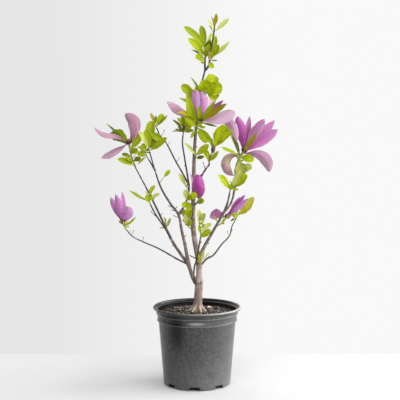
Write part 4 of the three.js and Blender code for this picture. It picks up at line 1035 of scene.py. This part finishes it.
            (0.96, 31, 45, 100, 12, 20, 10), (0.88, -63, 25, 65, 11, 30, 10), (0.85, -22, -25, 89, 9, 30, 10),
            (0.8, 166, 28, 46, 28, 10, 20), (0.86, 103, 15, 38, 20, 20, 20, 30),
            (0.2, 39, 20, 51, 21, 10, 15), (0.62, 76, 20, 44, 22, 15, 15, -20),
            (0.88, -18, -25, 58, 8, 30, 10), (0.7, -175, 35, 32, 12, 20, 10), (0.78, 140, 30, 40, 16, 15, 20),
        ],
        "tones": "OLFPLLPMFL", "sprigs": 2, "leaf": 28, "seed": 141, "woody": 0.5},
    "lower_right_bloom": {
        "stem": [(49, -15.6, 415), (66, 2, 422), (75, 12, 433)], "thick": (1.7, 2.4), "heart": (4.5, 12),
        "tepals": [
            (0.98, -84, -30, 46, 31, 15, 5), (0.98, 38, 15, 80, 15, 20, -5), (0.99, 46, 25, 84, 15, 20, -5),
            (0.98, 35, -25, 69, 16, 20, 5),
        ],
        "petals": "KKSR", "leaves": [], "tones": "", "sprigs": 0, "leaf": 20, "seed": 1, "woody": 0.3},
    "low_right_leaves": {
        "stem": [(100.5, 75.5, 418.8), (104, 77, 426), (106, 78, 432)], "thick": (1.6, 1.1),
        "leaves": [
            (0.9, 39, 24, 76, 24, 10, 15, -14), (0.4, -19, 30, 22, 11, 20, 15),
            (0.4, -122, -30, 20, 7, 20, 15), (0.3, -38, 30, 23, 8, 20, 15),
        ],
        "tones": "YLML", "sprigs": 3, "leaf": 28, "seed": 151, "woody": 0.3},
    "trunk_tuft": {
        "stem": [(5, -2, 313), (10, -13, 319), (11, -16, 326)], "thick": (1.2, 0.9),
        "leaves": [
            (0.9, 16, 20, 32, 4, 20, 15), (0.3, -9, 34, 37, 7, 28, 6), (0.95, 42, -6, 32, 4, 30, 15),
            (0.2, -23, 30, 26, 6, 30, 10),
        ],
        "tones": "POPF", "sprigs": 0, "leaf": 14, "seed": 1, "woody": 0.3},
    "leader_leaves": {
        "stem": [(-6, 4, 583), (-3, -8, 592), (-3, -13, 598)], "thick": (1.5, 1.1),
        "leaves": [
            (0.9, 47, 20, 48, 17, 10, 20), (0.8, -40, 15, 48, 11, 20, 15), (0.5, 80, 30, 26, 10, 20, 15),
        ],
        "tones": "LPM", "sprigs": 1, "leaf": 20, "seed": 161, "woody": 0.3},
    "low_left_bloom": {
        "stem": [(-177.6, -85.8, 414.8), (-181, -87, 422), (-184, -88, 430)], "thick": (1.8, 2.6),
        "heart": (6, 20),
        "tepals": [
            (0.97, -24, 10, 76, 19, 20, -10), (0.97, -12, 26, 89, 17, 15, -10),
            (0.97, -3, -10, 80, 15, 20, -10), (0.97, 11, 24, 54, 23, 10, -20, -42),
            (0.97, -19, -22, 68, 15, 20, -10),
        ],
        "petals": "MMKSM",
        "leaves": [(0.5, 46, 15, 41, 6, 30, 10), (0.9, -36, 35, 16, 8, 20, -20)],
        "tones": "FP", "sprigs": 1, "leaf": 18, "seed": 171, "woody": 0},
    "rear_leaves": {
        "stem": [(1.8, 109.4, 688.6), (6, 122, 708), (8, 130, 724)], "thick": (1.7, 1.2),
        "leaves": [
            (0.9, -8, -30, 60, 24, 20, 15), (0.6, 44, -35, 58, 20, 30, 20), (0.5, -52, -25, 56, 20, 30, 20),
            (0.3, 70, -50, 46, 16, 20, 20), (0.75, 20, -60, 52, 18, 10, 15), (0.4, -30, -60, 50, 20, 10, 15),
        ],
        "tones": "LFLMFL", "sprigs": 4, "leaf": 32, "seed": 181, "woody": 0.2},
}

FACE = Vector((0, -1, 0.4)).normalized()
BLADE_STEPS = 24
LEAF_STATIONS = (2, 4, 6, 8, 10, 12, 14, 16, 18, 20, 21, 22, 23)
SPRIG_STATIONS = (2, 6, 11, 16, 20, 23)
LEAF_COLUMNS = 4
LEAF_CUP, LEAF_THICK, LEAF_RUFFLE, LEAF_RAGGED, LEAF_TWIST = 0.4, 0.5, 0.12, 0.2, 22
LEAF_ROOM = ((0.26, 0.4), (0.66, 1), (1, 0))          # how far along a blade, and its share of the full width
SMALL_LEAF, SMALL_LEAF_ROOM = 32, ((0.56, 1), (1, 0))
TEPAL_ROOM = ((0.34, 0.5), (0.68, 1), (0.9, 0.8), (1, 0))
TEPAL_SEAT = 2.6
GOLDEN_ANGLE, SPRIG_LEAN, SPRIG_FRONT, SPRIG_SPREAD, SPRIG_SLIM = 137.5, 34, 62, 60, 0.36
SPRIG_TONES = "LFLMFL"
FINER, FINER_PLACES, EXTRA_SPRIGS = 0.55, (0.45, 0.75), 5
DRAW_FACTOR, DRAW_LIMIT, SEED_STEP, FINER_SEED = 16807, 2147483647, 7919, 31337
SHOOT_STEP, SHOOT_SIDES, ROOM_STEP = 3, 8, 6


def draws(seed):
    """Even random numbers from 0 to 1, the same each time for one seed."""
    while True:
        seed = seed * DRAW_FACTOR % DRAW_LIMIT
        yield seed / DRAW_LIMIT


def blade_line(root, blade, curl_way=1):
    """Points along the middle of a blade, each with the way across it and the way it faces."""
    lean, front, length = blade[1:4]
    roll, curl, bow, sway = (*blade[5:], 0, 0)[:4]
    tangent = heading(lean, front)
    normal = (FACE - tangent * FACE.dot(tangent)).normalized()
    normal.rotate(Quaternion(tangent, math.radians(roll)))
    point = root.copy()
    line = []

    def bend(part, swing):
        back = Quaternion(tangent.cross(normal), math.radians(-curl * curl_way * part))
        tangent.rotate(back)
        normal.rotate(back)
        tangent.rotate(Quaternion(normal, math.radians(-bow * part - sway * swing)))

    swings = [math.cos(2 * math.pi * i / BLADE_STEPS) for i in range(BLADE_STEPS + 2)]
    bend(-0.5, 1)
    for i in range(BLADE_STEPS + 1):
        line.append((point.copy(), tangent.cross(normal), normal.copy()))
        point += tangent * (length / BLADE_STEPS)
        bend(2 / BLADE_STEPS * math.sin(math.pi * (i + 0.5) / BLADE_STEPS) ** 2, swings[i + 1] - swings[i])
    return line


def swell(along, peak, root_power, tip_power):
    """A blade's share of its full width: it swells up to a peak, then rounds off to the tip."""
    if along < peak:
        return math.sin(math.pi / 2 * along / peak) ** root_power
    return (1 - ((along - peak) / (1 - peak)) ** 2) ** tip_power


def add_blade(batch, line, half_at, stations, columns, cup, thick, ruffle, ragged, twist, faces_finish, tag):
    """A thin closed blade with a hollowed face, wavy edges, a slight twist and a raised rib on its back."""
    offsets = [2 * k / columns - 1 for k in range(columns + 1)]
    points, patterns = [], []
    turn_way = math.sin(90 * tag)
    for i in stations:
        place, side, normal = line[i]
        along = i / BLADE_STEPS
        turn = Quaternion(side.cross(normal), math.radians(twist * turn_way * along))
        side, normal = turn @ side, turn @ normal
        half = half_at(along)
        front, back = [], []
        for a in offsets:
            stray = noise.noise(Vector((9 * along, 2 if a > 0 else -2, 30 * tag)))
            rise = cup * half * (0.5 * abs(a) + 0.5 * a * a)
            rise += ruffle * half * a * a * math.sin(13 * along + 40 * tag + (2 if a > 0 else 0))
            middle = place + side * (a * half * (1 + ragged * abs(a) * stray)) + normal * rise
            body = 0.5 * thick if abs(a) < 0.99 else 0
            rib = 0.9 * thick * (1 - along) if abs(a) < 0.01 else 0
            front.append(middle + normal * body)
            back.append(middle - normal * (body + rib))
        ring = front + back[-2:0:-1]
        points += [p * MM for p in ring]
        patterns += [(a, along, tag) for a in offsets + offsets[-2:0:-1]]
    size, last = 2 * columns, 2 * columns * (len(stations) - 1)
    points.append(line[-1][0] * MM)
    patterns.append((0, 1, tag))
    fan = [(last + k, last + (k + 1) % size, last + size) for k in range(size)]
    finishes = [faces_finish[0]] * columns + [faces_finish[1]] * columns
    batch.add(points, [tuple(range(size)), *hoops(len(stations), size), *fan],
              [faces_finish[0], *finishes * len(stations)], patterns)


# Leaf tones by letter; M is a darker green that paints the shade on leaves deep in the crown.
LEAF_TONES = {"L": (166, 181, 0), "F": (146, 161, 2), "M": (102, 120, 20), "P": (184, 189, 94),
              "G": (170, 182, 0), "O": (158, 143, 12), "Y": (214, 212, 52)}
LEAF_LETTERS = "".join(LEAF_TONES)
leaf_batch, shoot_batch, shoot_age = Batch(), Batch(), []


def add_leaf(root, blade, letter, tag, stations):
    """A leaf on its stalk: a broad one has a blunt tip, a slender one a pointed tip."""
    line = blade_line(root, blade)
    finish = 2 * LEAF_LETTERS.index(letter)
    half = blade[4] / 2
    blunt = min(1, max(0.42, 1.15 - 1.7 * blade[4] / blade[3]))
    add_blade(leaf_batch, line, lambda s: max(0.6, half * swell(s, 0.6, 1.4, blunt)), stations, LEAF_COLUMNS,
              LEAF_CUP, LEAF_THICK, LEAF_RUFFLE, LEAF_RAGGED, LEAF_TWIST, (finish, finish + 1), tag)
    stalk = [line[i][0] for i in (0, 1, 2, 3, 4)]
    shoot_age.extend([0] * add_tube(shoot_batch, None, stalk, (1, 0.8, 0.7, 0.6, 0.3), 5))


def room_of(line, blade, outline):
    """Round balls along a blade stand for the room that it takes up."""
    return [(line[round(s * BLADE_STEPS)][0], 1 + share * blade[4] / 2) for s, share in outline]


def meets(balls, others, margin):
    return any((place - other).length < radius + size + margin
               for place, radius in balls for other, size in others)


def shoots_of(spray):
    return [Route(spray[key]) for key in ("stem", "side") if key in spray]


def seat_of(spray, blade):
    """A tepal is seated off the flower's middle, on the side that it leans to."""
    stem = shoots_of(spray)[0]
    axis = (stem.at(1) - stem.at(0.999)).normalized()
    aside = heading(blade[1], blade[2])
    aside -= axis * aside.dot(axis)
    return stem.at(blade[0]) + (axis + aside) * TEPAL_SEAT


wood_room = []
for name, limb in LIMBS.items():
    count = math.ceil(routes[name].length / ROOM_STEP)
    foot, tip = limb["thick"]
    wood_room += [(routes[name].at(i / count), foot + (tip - foot) * i / count) for i in range(count + 1)]

leaf_room = []
for spray in SPRAYS.values():
    shoots = shoots_of(spray)
    for i, blade in enumerate(spray["leaves"]):
        shoot = shoots[int(blade[0])]
        root = shoot.at(blade[0] % 1)
        line = blade_line(root, blade)
        leaf_room += room_of(line, blade, SMALL_LEAF_ROOM if blade[3] < SMALL_LEAF else LEAF_ROOM)
        add_leaf(root, blade, spray["tones"][i], 0.37 * i + 0.1 * spray["seed"], LEAF_STATIONS)
    for blade in spray.get("tepals", []):
        line = blade_line(seat_of(spray, blade), blade, -1 if blade[2] > 0 else 1)
        leaf_room += room_of(line, blade, TEPAL_ROOM)

for spray in SPRAYS.values():
    for shoot in shoots_of(spray):
        count = max(4, round(shoot.length / SHOOT_STEP))
        foot, tip = spray["thick"]
        shares = [i / count for i in range(count + 1)]
        radii = [ringed(foot + (tip - foot) * s, s * shoot.length) for s in shares]
        add_tube(shoot_batch, None, [shoot.at(s) for s in shares], radii, SHOOT_SIDES)
        shoot_age += [max(0, spray["woody"] - 0.5 * s) * 2 for s in shares for _ in range(SHOOT_SIDES)]


def sprig(stem, along, bearing, leaf, draw):
    """A short twig beside a stem, and the two leaves that it carries: their roots and their blades."""
    twig_length = leaf * (0.3 + 0.25 * next(draw))
    leaf_length = leaf * (0.85 + 0.35 * next(draw))
    root = stem.at(along)
    lean = SPRIG_LEAN * math.sin(math.radians(bearing)) + 10 * next(draw)
    front = -SPRIG_FRONT * math.cos(math.radians(bearing))
    knee = root + heading(lean, front) * twig_length
    width = leaf_length * SPRIG_SLIM
    return root, knee, [
        (knee, (0, lean, front, leaf_length, width, 30, 15)),
        ((root + knee) / 2, (0, lean + SPRIG_SPREAD, front / 2, leaf_length * 0.7, width * 0.8, 40, 15)),
    ]


def grow(stem, along, bearing, leaf, draw, thick, reach):
    """Adds a sprig, unless it would touch the wood or a leaf, or leave the reach of its spray."""
    root, knee, blades = sprig(stem, along, bearing, leaf, draw)
    room = []
    for start, blade in blades:
        line = blade_line(start, blade)
        room += room_of(line, blade, SMALL_LEAF_ROOM if blade[3] < SMALL_LEAF else LEAF_ROOM)
    if reach:
        low, high = reach
        if any(place[k] - 2 < low[k] or place[k] + 2 > high[k] for place, _ in room for k in range(3)):
            return None
    if meets(room, wood_room, 0.5) or meets(room, leaf_room, -1):
        return None
    leaf_room.extend(room)
    twig = [root, (root + knee) / 2, knee]
    shoot_age.extend([0] * add_tube(shoot_batch, None, twig, (thick, thick * 0.9, thick * 0.7), 6))
    for start, blade in blades:
        add_leaf(start, blade, SPRIG_TONES[int(len(SPRIG_TONES) * next(finer))], next(finer), SPRIG_STATIONS)
    return Route([root, knee])


finer = draws(FINER_SEED)
for name, spray in SPRAYS.items():
    stem = shoots_of(spray)[0]
    box_low, box_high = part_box(name)
    reach = ([c / MM for c in box_low], [c / MM for c in box_high])
    draw = draws(spray["seed"] * SEED_STEP)
    twigs = []
    for i in range(spray["sprigs"]):
        bearing = i * GOLDEN_ANGLE + 360 * next(draw)
        along = 0.3 + 0.6 * (i + 0.5) / spray["sprigs"]
        twigs.append(grow(stem, along, bearing, spray["leaf"], draw, 1.1, None))
    for twig in filter(None, twigs):
        for i, along in enumerate(FINER_PLACES):
            grow(twig, along, 180 * i + 120 * next(finer), spray["leaf"] * FINER, finer, 0.6, reach)
    for i in range(EXTRA_SPRIGS):
        bearing = (i * GOLDEN_ANGLE) % 180 - 90
        grow(stem, 0.25 + 0.14 * i, bearing, spray["leaf"] * (0.9 - 0.08 * i), finer, 0.8, reach)

# Leaf blades are a fresh yellow-green with a paler middle rib and side veins, and duller underneath.
veins, given, result = make_group(
    "leaf_veins", [("Pattern", "Vector", None), ("Count", "Float", 8)], [("Rib", "Float"), ("Side", "Float")])
parts = node(veins, "SeparateXYZ", {"Vector": given.outputs["Pattern"]})
off_middle = maths(veins, "ABSOLUTE", parts.outputs["X"])
slant = maths(veins, "MULTIPLY_ADD", off_middle, -0.16, parts.outputs["Y"])
wave = maths(veins, "PINGPONG", maths(veins, "MULTIPLY", slant, given.outputs["Count"]), 1.0)
veins.links.new(ramp(veins, off_middle, 0.12, 0.03), result.inputs["Rib"])
veins.links.new(ramp(veins, wave, 0.16, 0.02), result.inputs["Side"])


def leaf_finish(name, tone, rough):
    made, tree, shader = new_material(name, Roughness=rough, Specular_IOR_Level=0.12)
    lines = node(tree, "Group", {"Pattern": stored(tree, "pattern", "Vector"), "Count": 16}, node_tree=veins)
    side, rib = lines.outputs["Side"], lines.outputs["Rib"]
    cloudy = mottled(tree, own_place(tree), 60, 0.35, 0.65)
    pale = (tone[0] + 30, tone[1] + 28, tone[2] + 60)
    base = tinted(tree, colour(*tone), cloudy, 0.4, [c * 0.8 for c in tone])
    base = tinted(tree, tinted(tree, base, side, 0.18, pale), rib, 0.7, pale)
    tree.links.new(base, shader.inputs["Base Color"])
    bumped(tree, shader, maths(tree, "ADD", side, rib), 0.28, 0.3 * MM, invert=True)
    return made


leaf_finishes = []
for letter, tone in LEAF_TONES.items():
    under = [0.8 * c + 0.2 * p for c, p in zip(tone, (176, 188, 100))]
    leaf_finishes.append(leaf_finish("leaf_face_" + letter, tone, 0.42))
    leaf_finishes.append(leaf_finish("leaf_back_" + letter, under, 0.6))
leaves = leaf_batch.build("leaves", leaf_finishes, 50)
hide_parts(*[name for name, spray in SPRAYS.items() if "tepals" not in spray])
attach(leaves, "root")

shoot_skin, tree, shader = new_material("young_shoot_skin", Roughness=0.55)
place = own_place(tree)
green = mixed(tree, mottled(tree, place, 90, 0.4, 0.6), colour(150, 160, 60), colour(150, 132, 74))
tree.links.new(mixed(tree, stored(tree, "age"), green, colour(78, 62, 52)), shader.inputs["Base Color"])
bumped(tree, shader, grained(tree, place, 1200), 0.4, 0.2 * MM)
shoots = shoot_batch.build("leafy_shoots", [shoot_skin], 60)
give(shoots, "age", shoot_age)
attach(shoots, "root")


# ---------------------------------------------------------------- buds on the twigs
# Two spent bud cases that still hang on, and the tan scales that a shoot pushed off when it opened. They are
# fused to the twigs that they grew on, and share a piece with the pegs and their small buds.

OLD_BUDS = [   # place, lean, front, length, radius, finish
    ((-35, 57, 655), 8, 20, 22, 4.6, 2), ((39, -89, 609), 8, 4, 24, 5.6, 2),
    ((32, -6, 839), -4, 12, 26, 3.8, 3), ((35, -6, 842), 12, 8, 20, 2.8, 3),
]
BUD_SHAPE = ((0, 0.35), (0.12, 0.75), (0.32, 1), (0.58, 0.9), (0.82, 0.5), (1, 0.12))   # along, width

for place, lean, front, length, radius, finish in OLD_BUDS:
    way = heading(lean, front)
    add_tube(pegs, None, [Vector(place) + way * length * s for s, _ in BUD_SHAPE],
             [radius * w for _, w in BUD_SHAPE], 8, finish)


def downy_finish(name, tone, dark, rough, blotch, down, strength, depth):
    """A dull skin mottled with a darker tone, under fine down."""
    made, tree, shader = new_material(name, Roughness=rough)
    place = own_place(tree)
    base = mixed(tree, mottled(tree, place, blotch, 0.4, 0.6), colour(*tone), colour(*dark))
    tree.links.new(base, shader.inputs["Base Color"])
    bumped(tree, shader, grained(tree, place, down), strength, depth)
    return made


peg_finishes = [downy_finish(name, tone, dark, 0.7, 260, 2500, 0.8, 0.3 * MM) for name, tone, dark in (
    ("peg_green", (158, 150, 84), (120, 104, 62)), ("peg_bud", (112, 92, 70), (76, 62, 50)),
    ("spent_bud", (118, 94, 66), (66, 46, 38)), ("tan_scale", (206, 168, 118), (166, 124, 82)))]
buds = pegs.build("buds_and_pegs", peg_finishes, 50)
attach(buds, "root")


# ---------------------------------------------------------------- blossom
# Goblet-shaped flowers of soft fleshy tepals, deep magenta at the foot and paler towards the edge, pale on
# the inside. Each opens round a green cone of carpels in a ring of dark stamens, out of two downy bud scales.

TEPAL_COLUMNS = 8
TEPAL_CUP, TEPAL_THICK, TEPAL_RUFFLE, TEPAL_RAGGED, TEPAL_TWIST = 0.45, 0.7, 0.1, 0.1, 18
PETAL_TONES = {   # outside at the foot, over most of it and at the edge; inside at the foot and over the rest
    "K": ((124, 24, 92), (160, 62, 142), (182, 110, 174), (176, 56, 140), (198, 120, 182)),
    "P": ((172, 30, 130), (214, 126, 198), (220, 158, 212), (184, 60, 150), (204, 136, 190)),
    "S": ((180, 52, 144), (206, 138, 198), (214, 170, 212), (176, 60, 146), (200, 134, 188)),
    "R": ((126, 32, 94), (198, 112, 172), (210, 146, 192), (160, 56, 126), (172, 100, 152)),
    "L": ((126, 52, 106), (190, 140, 170), (196, 162, 186), (170, 84, 148), (204, 158, 192)),
    "W": ((190, 110, 160), (252, 206, 244), (240, 206, 232), (200, 136, 180), (232, 206, 222)),
    "D": ((96, 34, 66), (206, 150, 176), (178, 140, 160), (150, 70, 112), (192, 144, 168)),
    "M": ((132, 50, 110), (182, 110, 170), (178, 128, 170), (150, 80, 138), (192, 136, 180)),
    "C": ((170, 60, 140), (220, 208, 168), (186, 100, 166), (150, 40, 110), (214, 202, 176)),
    "B": ((112, 18, 84), (162, 50, 138), (180, 88, 164), (160, 46, 128), (186, 100, 168)),
}
PETAL_LETTERS = "".join(PETAL_TONES)
HEART_FINISH = 2 * len(PETAL_LETTERS)
HEART_PARTS = (   # how many, lowest, climb, how far out, less by the height, rise, reach, lift, radii
    (30, 0.35, 0.6, 0.55, 0.4, 1.1, (2.4, 3.6), 0.6, (0.9, 0.6, 0.15)),
    (34, 0.06, 0.26, 0.5, 0, 0.9, (4, 7.5), 1.4, (0.7, 0.8, 0.4)))
SCALE_LENGTH, SCALE_WIDTH = 19, 11
BUD_SIDES, BUD_RINGS, BUD_TWIST = 36, 26, 1.3

petal_batch = Batch()
for name, spray in SPRAYS.items():
    for i, blade in enumerate(spray.get("tepals", [])):
        outward = blade[2] > 0
        line = blade_line(seat_of(spray, blade), blade, -1 if outward else 1)
        half = blade[4] / 2
        finish = 2 * PETAL_LETTERS.index(spray["petals"][i])
        tag = 0.31 * i + 0.1 * spray["seed"]
        blunt = min(1, max(0.56, 1.5 - 2.4 * blade[4] / blade[3]))
        add_blade(petal_batch, line, lambda s: max(1.6, half * swell(s, 0.62, 1.3, blunt)),
                  range(BLADE_STEPS), TEPAL_COLUMNS, -TEPAL_CUP if outward else TEPAL_CUP, TEPAL_THICK,
                  TEPAL_RUFFLE, TEPAL_RAGGED, TEPAL_TWIST,
                  (finish, finish + 1) if outward else (finish + 1, finish), tag)
    if "heart" not in spray:
        continue
    radius, length = spray["heart"]
    stem = shoots_of(spray)[0]
    axis = (stem.at(1) - stem.at(0.99)).normalized()
    across = axis.orthogonal().normalized()
    foot = stem.at(0.985)
    if name == "centre_bud":
        # The closed bud: wrapped tepals wind round it, so its section has soft spiral folds.
        points, patterns = [], []
        for ring in range(BUD_RINGS + 1):
            along = ring / BUD_RINGS
            full = max(0.8, radius * math.sin(math.pi * (0.12 + 0.84 * along)) ** 0.7)
            for k in range(BUD_SIDES):
                angle = 2 * math.pi * k / BUD_SIDES
                fold = (3 * angle / (2 * math.pi) + BUD_TWIST * along) % 1
                out = Quaternion(axis, angle) @ across
                points.append((foot + axis * length * along + out * full * (0.94 + 0.1 * fold)) * MM)
                patterns.append((2 * fold - 1, along, 0.4))
        faces = [tuple(range(BUD_SIDES)), tuple(range(BUD_RINGS * BUD_SIDES, (BUD_RINGS + 1) * BUD_SIDES))]
        faces += hoops(BUD_RINGS + 1, BUD_SIDES)
        petal_batch.add(points, faces, 2 * PETAL_LETTERS.index("B"), patterns)
    else:
        cone = [foot + axis * length * s for s in (0, 0.2, 0.5, 0.8, 1)]
        add_tube(petal_batch, None, cone, [radius * w for w in (0.6, 0.6, 0.5, 0.34, 0.1)], 10, HEART_FINISH)
        for kind, (count, lowest, climb, out, less, rise, reach, lift, radii) in enumerate(HEART_PARTS):
            for i in range(count):
                aside = Quaternion(axis, math.radians(GOLDEN_ANGLE * i)) @ across
                level = lowest + climb * i / count
                root = foot + axis * length * level + aside * radius * (out - less * level)
                way = (axis * rise + aside).normalized()
                line = [root, root + way * reach[0], root + way * reach[1] + axis * lift]
                add_tube(petal_batch, None, line, radii, 5, HEART_FINISH + kind)
    for side in (-1, 1):
        lean = math.degrees(math.atan2(axis.x, axis.z)) + 16 * side
        scale_blade = (0, lean, 16 * side, SCALE_LENGTH, SCALE_WIDTH, 40 * side, -20)
        root = stem.at(0.93) + heading(lean, 16 * side) * 1.5
        add_blade(petal_batch, blade_line(root, scale_blade),
                  lambda s: max(1.4, SCALE_WIDTH / 2 * swell(s, 0.4, 0.8, 0.8)), range(0, BLADE_STEPS, 3), 4,
                  -0.5, 0.8, 0.02, 0, 0, (HEART_FINISH + 2, HEART_FINISH + 2), 0.2)


def petal_finish(name, foot_tone, tone, edge_tone, rough):
    """Soft fleshy petal: a deep foot, long dark veins that also paint shade in its folds, and a paler edge
    and tip.
    """
    made, tree, shader = new_material(name, Roughness=rough, Sheen_Weight=0.15, Specular_IOR_Level=0.3)
    pattern = stored(tree, "pattern", "Vector")
    parts = node(tree, "SeparateXYZ", {"Vector": pattern})
    along, off_middle = parts.outputs["Y"], maths(tree, "ABSOLUTE", parts.outputs["X"])
    fanned = maths(tree, "MULTIPLY_ADD", off_middle, 0.2, along)
    up = ramp(tree, fanned, 0.06, 0.6, interpolation_type="SMOOTHSTEP")
    edge = maths(tree, "MAXIMUM", ramp(tree, along, 0.6, 1, 0, 0.7), ramp(tree, off_middle, 0.55, 1, 0, 0.8))
    lines = stretched(tree, pattern, 9, 0.8, 5)
    base = mixed(tree, up, colour(*foot_tone), colour(*tone))
    base = mixed(tree, edge, base, colour(*edge_tone))
    base = mixed(tree, ramp(tree, off_middle, 0.88, 1, 0, 0.6), base, colour(*[0.66 * c for c in tone]))
    # Dark lengthwise streaks: veins, made strong enough to paint the shade in the petal's folds as well.
    base = tinted(tree, base, mottled(tree, lines, 1.6, 0.44, 0.6), 0.6, [0.7 * c for c in tone])
    base = tinted(tree, base, mottled(tree, own_place(tree), 70, 0.45, 0.7), 0.25, edge_tone)
    tree.links.new(base, shader.inputs["Base Color"])
    bumped(tree, shader, grained(tree, lines, 5), 0.35, 0.5 * MM)
    return made


petal_finishes = []
for letter, (foot_tone, tone, edge_tone, inner_foot, inner) in PETAL_TONES.items():
    lighter = [c + (255 - c) * 0.15 for c in inner]
    petal_finishes.append(petal_finish("petal_back_" + letter, foot_tone, tone, edge_tone, 0.5))
    petal_finishes.append(petal_finish("petal_face_" + letter, inner_foot, inner, lighter, 0.55))
petal_finishes += [downy_finish(name, tone, dark, 0.65, 200, 2200, 0.5, 0.25 * MM) for name, tone, dark in (
    ("carpels", (170, 170, 84), (130, 120, 60)), ("stamens", (112, 40, 76), (76, 26, 54)),
    ("bud_scales", (166, 160, 80), (130, 108, 72)))]
petals = petal_batch.build("blossom", petal_finishes, 50)
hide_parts(*[name for name, spray in SPRAYS.items() if "tepals" in spray])
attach(petals, "root")


# ---------------------------------------------------------------- floor, light and camera
# A plain pale board under the pot. The key lamp stands at the front right and a wide lamp at the right. One
# lamp lights the crown from the front, and a weak one stands at the back left.

FLOOR_BACK = 0.33
FLOOR_REACH = 1.4
ROOM_DIM, ROOM_BRIGHT = (136, 136, 138), (242, 243, 245)

deselect()
bpy.ops.mesh.primitive_plane_add(size=1, location=(0, (FLOOR_BACK - FLOOR_REACH) / 2, 0))
floor = bpy.context.object
floor.name = "floor"
floor.scale = (2 * FLOOR_REACH, FLOOR_BACK + FLOOR_REACH, 1)
bpy.ops.object.transform_apply(location=True, scale=True)
board, tree, shader = new_material("pale_board", Roughness=0.7)
cloudy = mottled(tree, own_place(tree), 3, 0.3, 0.7)
tree.links.new(mixed(tree, cloudy, colour(220, 220, 220), colour(226, 226, 226)), shader.inputs["Base Color"])
floor.data.materials.append(board)

world = bpy.data.worlds.new("studio")
world.use_nodes = True
tree = world.node_tree
sky = tree.nodes["Background"]
seen = node(tree, "LightPath").outputs["Is Camera Ray"]
way = node(tree, "SeparateXYZ", {"Vector": node(tree, "TexCoord").outputs["Generated"]}).outputs
# The backdrop that the camera sees is painted light: darker at the left and brighter at the right.
backdrop = mixed(tree, ramp(tree, way["X"], -0.12, 0.05), colour(230, 230, 231), colour(249, 249, 249))
bright = maths(tree, "MAXIMUM", ramp(tree, way["X"], -0.3, 0.7), ramp(tree, way["Y"], 0, 0.6))
room = mixed(tree, bright, colour(*ROOM_DIM), colour(*ROOM_BRIGHT))
tree.links.new(mixed(tree, seen, room, backdrop), sky.inputs["Color"])
bpy.context.scene.world = world


def lamp(name, place, target, size, power):
    """A square soft lamp turned to what it lights."""
    light = bpy.data.lights.new(name, "AREA")
    light.size = size
    light.energy = power
    made = bpy.data.objects.new(name, light)
    made.location = place
    made.rotation_euler = (Vector(target) - Vector(place)).to_track_quat("-Z", "Y").to_euler()
    made.visible_camera = False
    bpy.context.collection.objects.link(made)


lamp("key_lamp", (1.9, -1.7, 1.6), (0, 0, 0.5), 1.6, 26)
lamp("side_lamp", (2.5, 0.3, 1.2), (0, 0, 0.4), 2.4, 74)
lamp("crown_lamp", (-0.3, -1.6, 1.9), (0, 0, 0.65), 1.2, 18)
lamp("back_lamp", (-1.6, 1.6, 1.0), (0, 0, 0.5), 1.1, 8)

CAMERA_PLACE = (0.0075, -3.2, 0.83)
CAMERA_PITCH = 83.778
CAMERA_LENS = 112.6
camera_data = bpy.data.cameras.new("camera")
camera_data.lens = CAMERA_LENS
camera = bpy.data.objects.new("camera", camera_data)
camera.location = CAMERA_PLACE
camera.rotation_euler = (math.radians(CAMERA_PITCH), 0, 0)
bpy.context.collection.objects.link(camera)
bpy.context.scene.camera = camera
bpy.context.scene.view_settings.view_transform = "Standard"
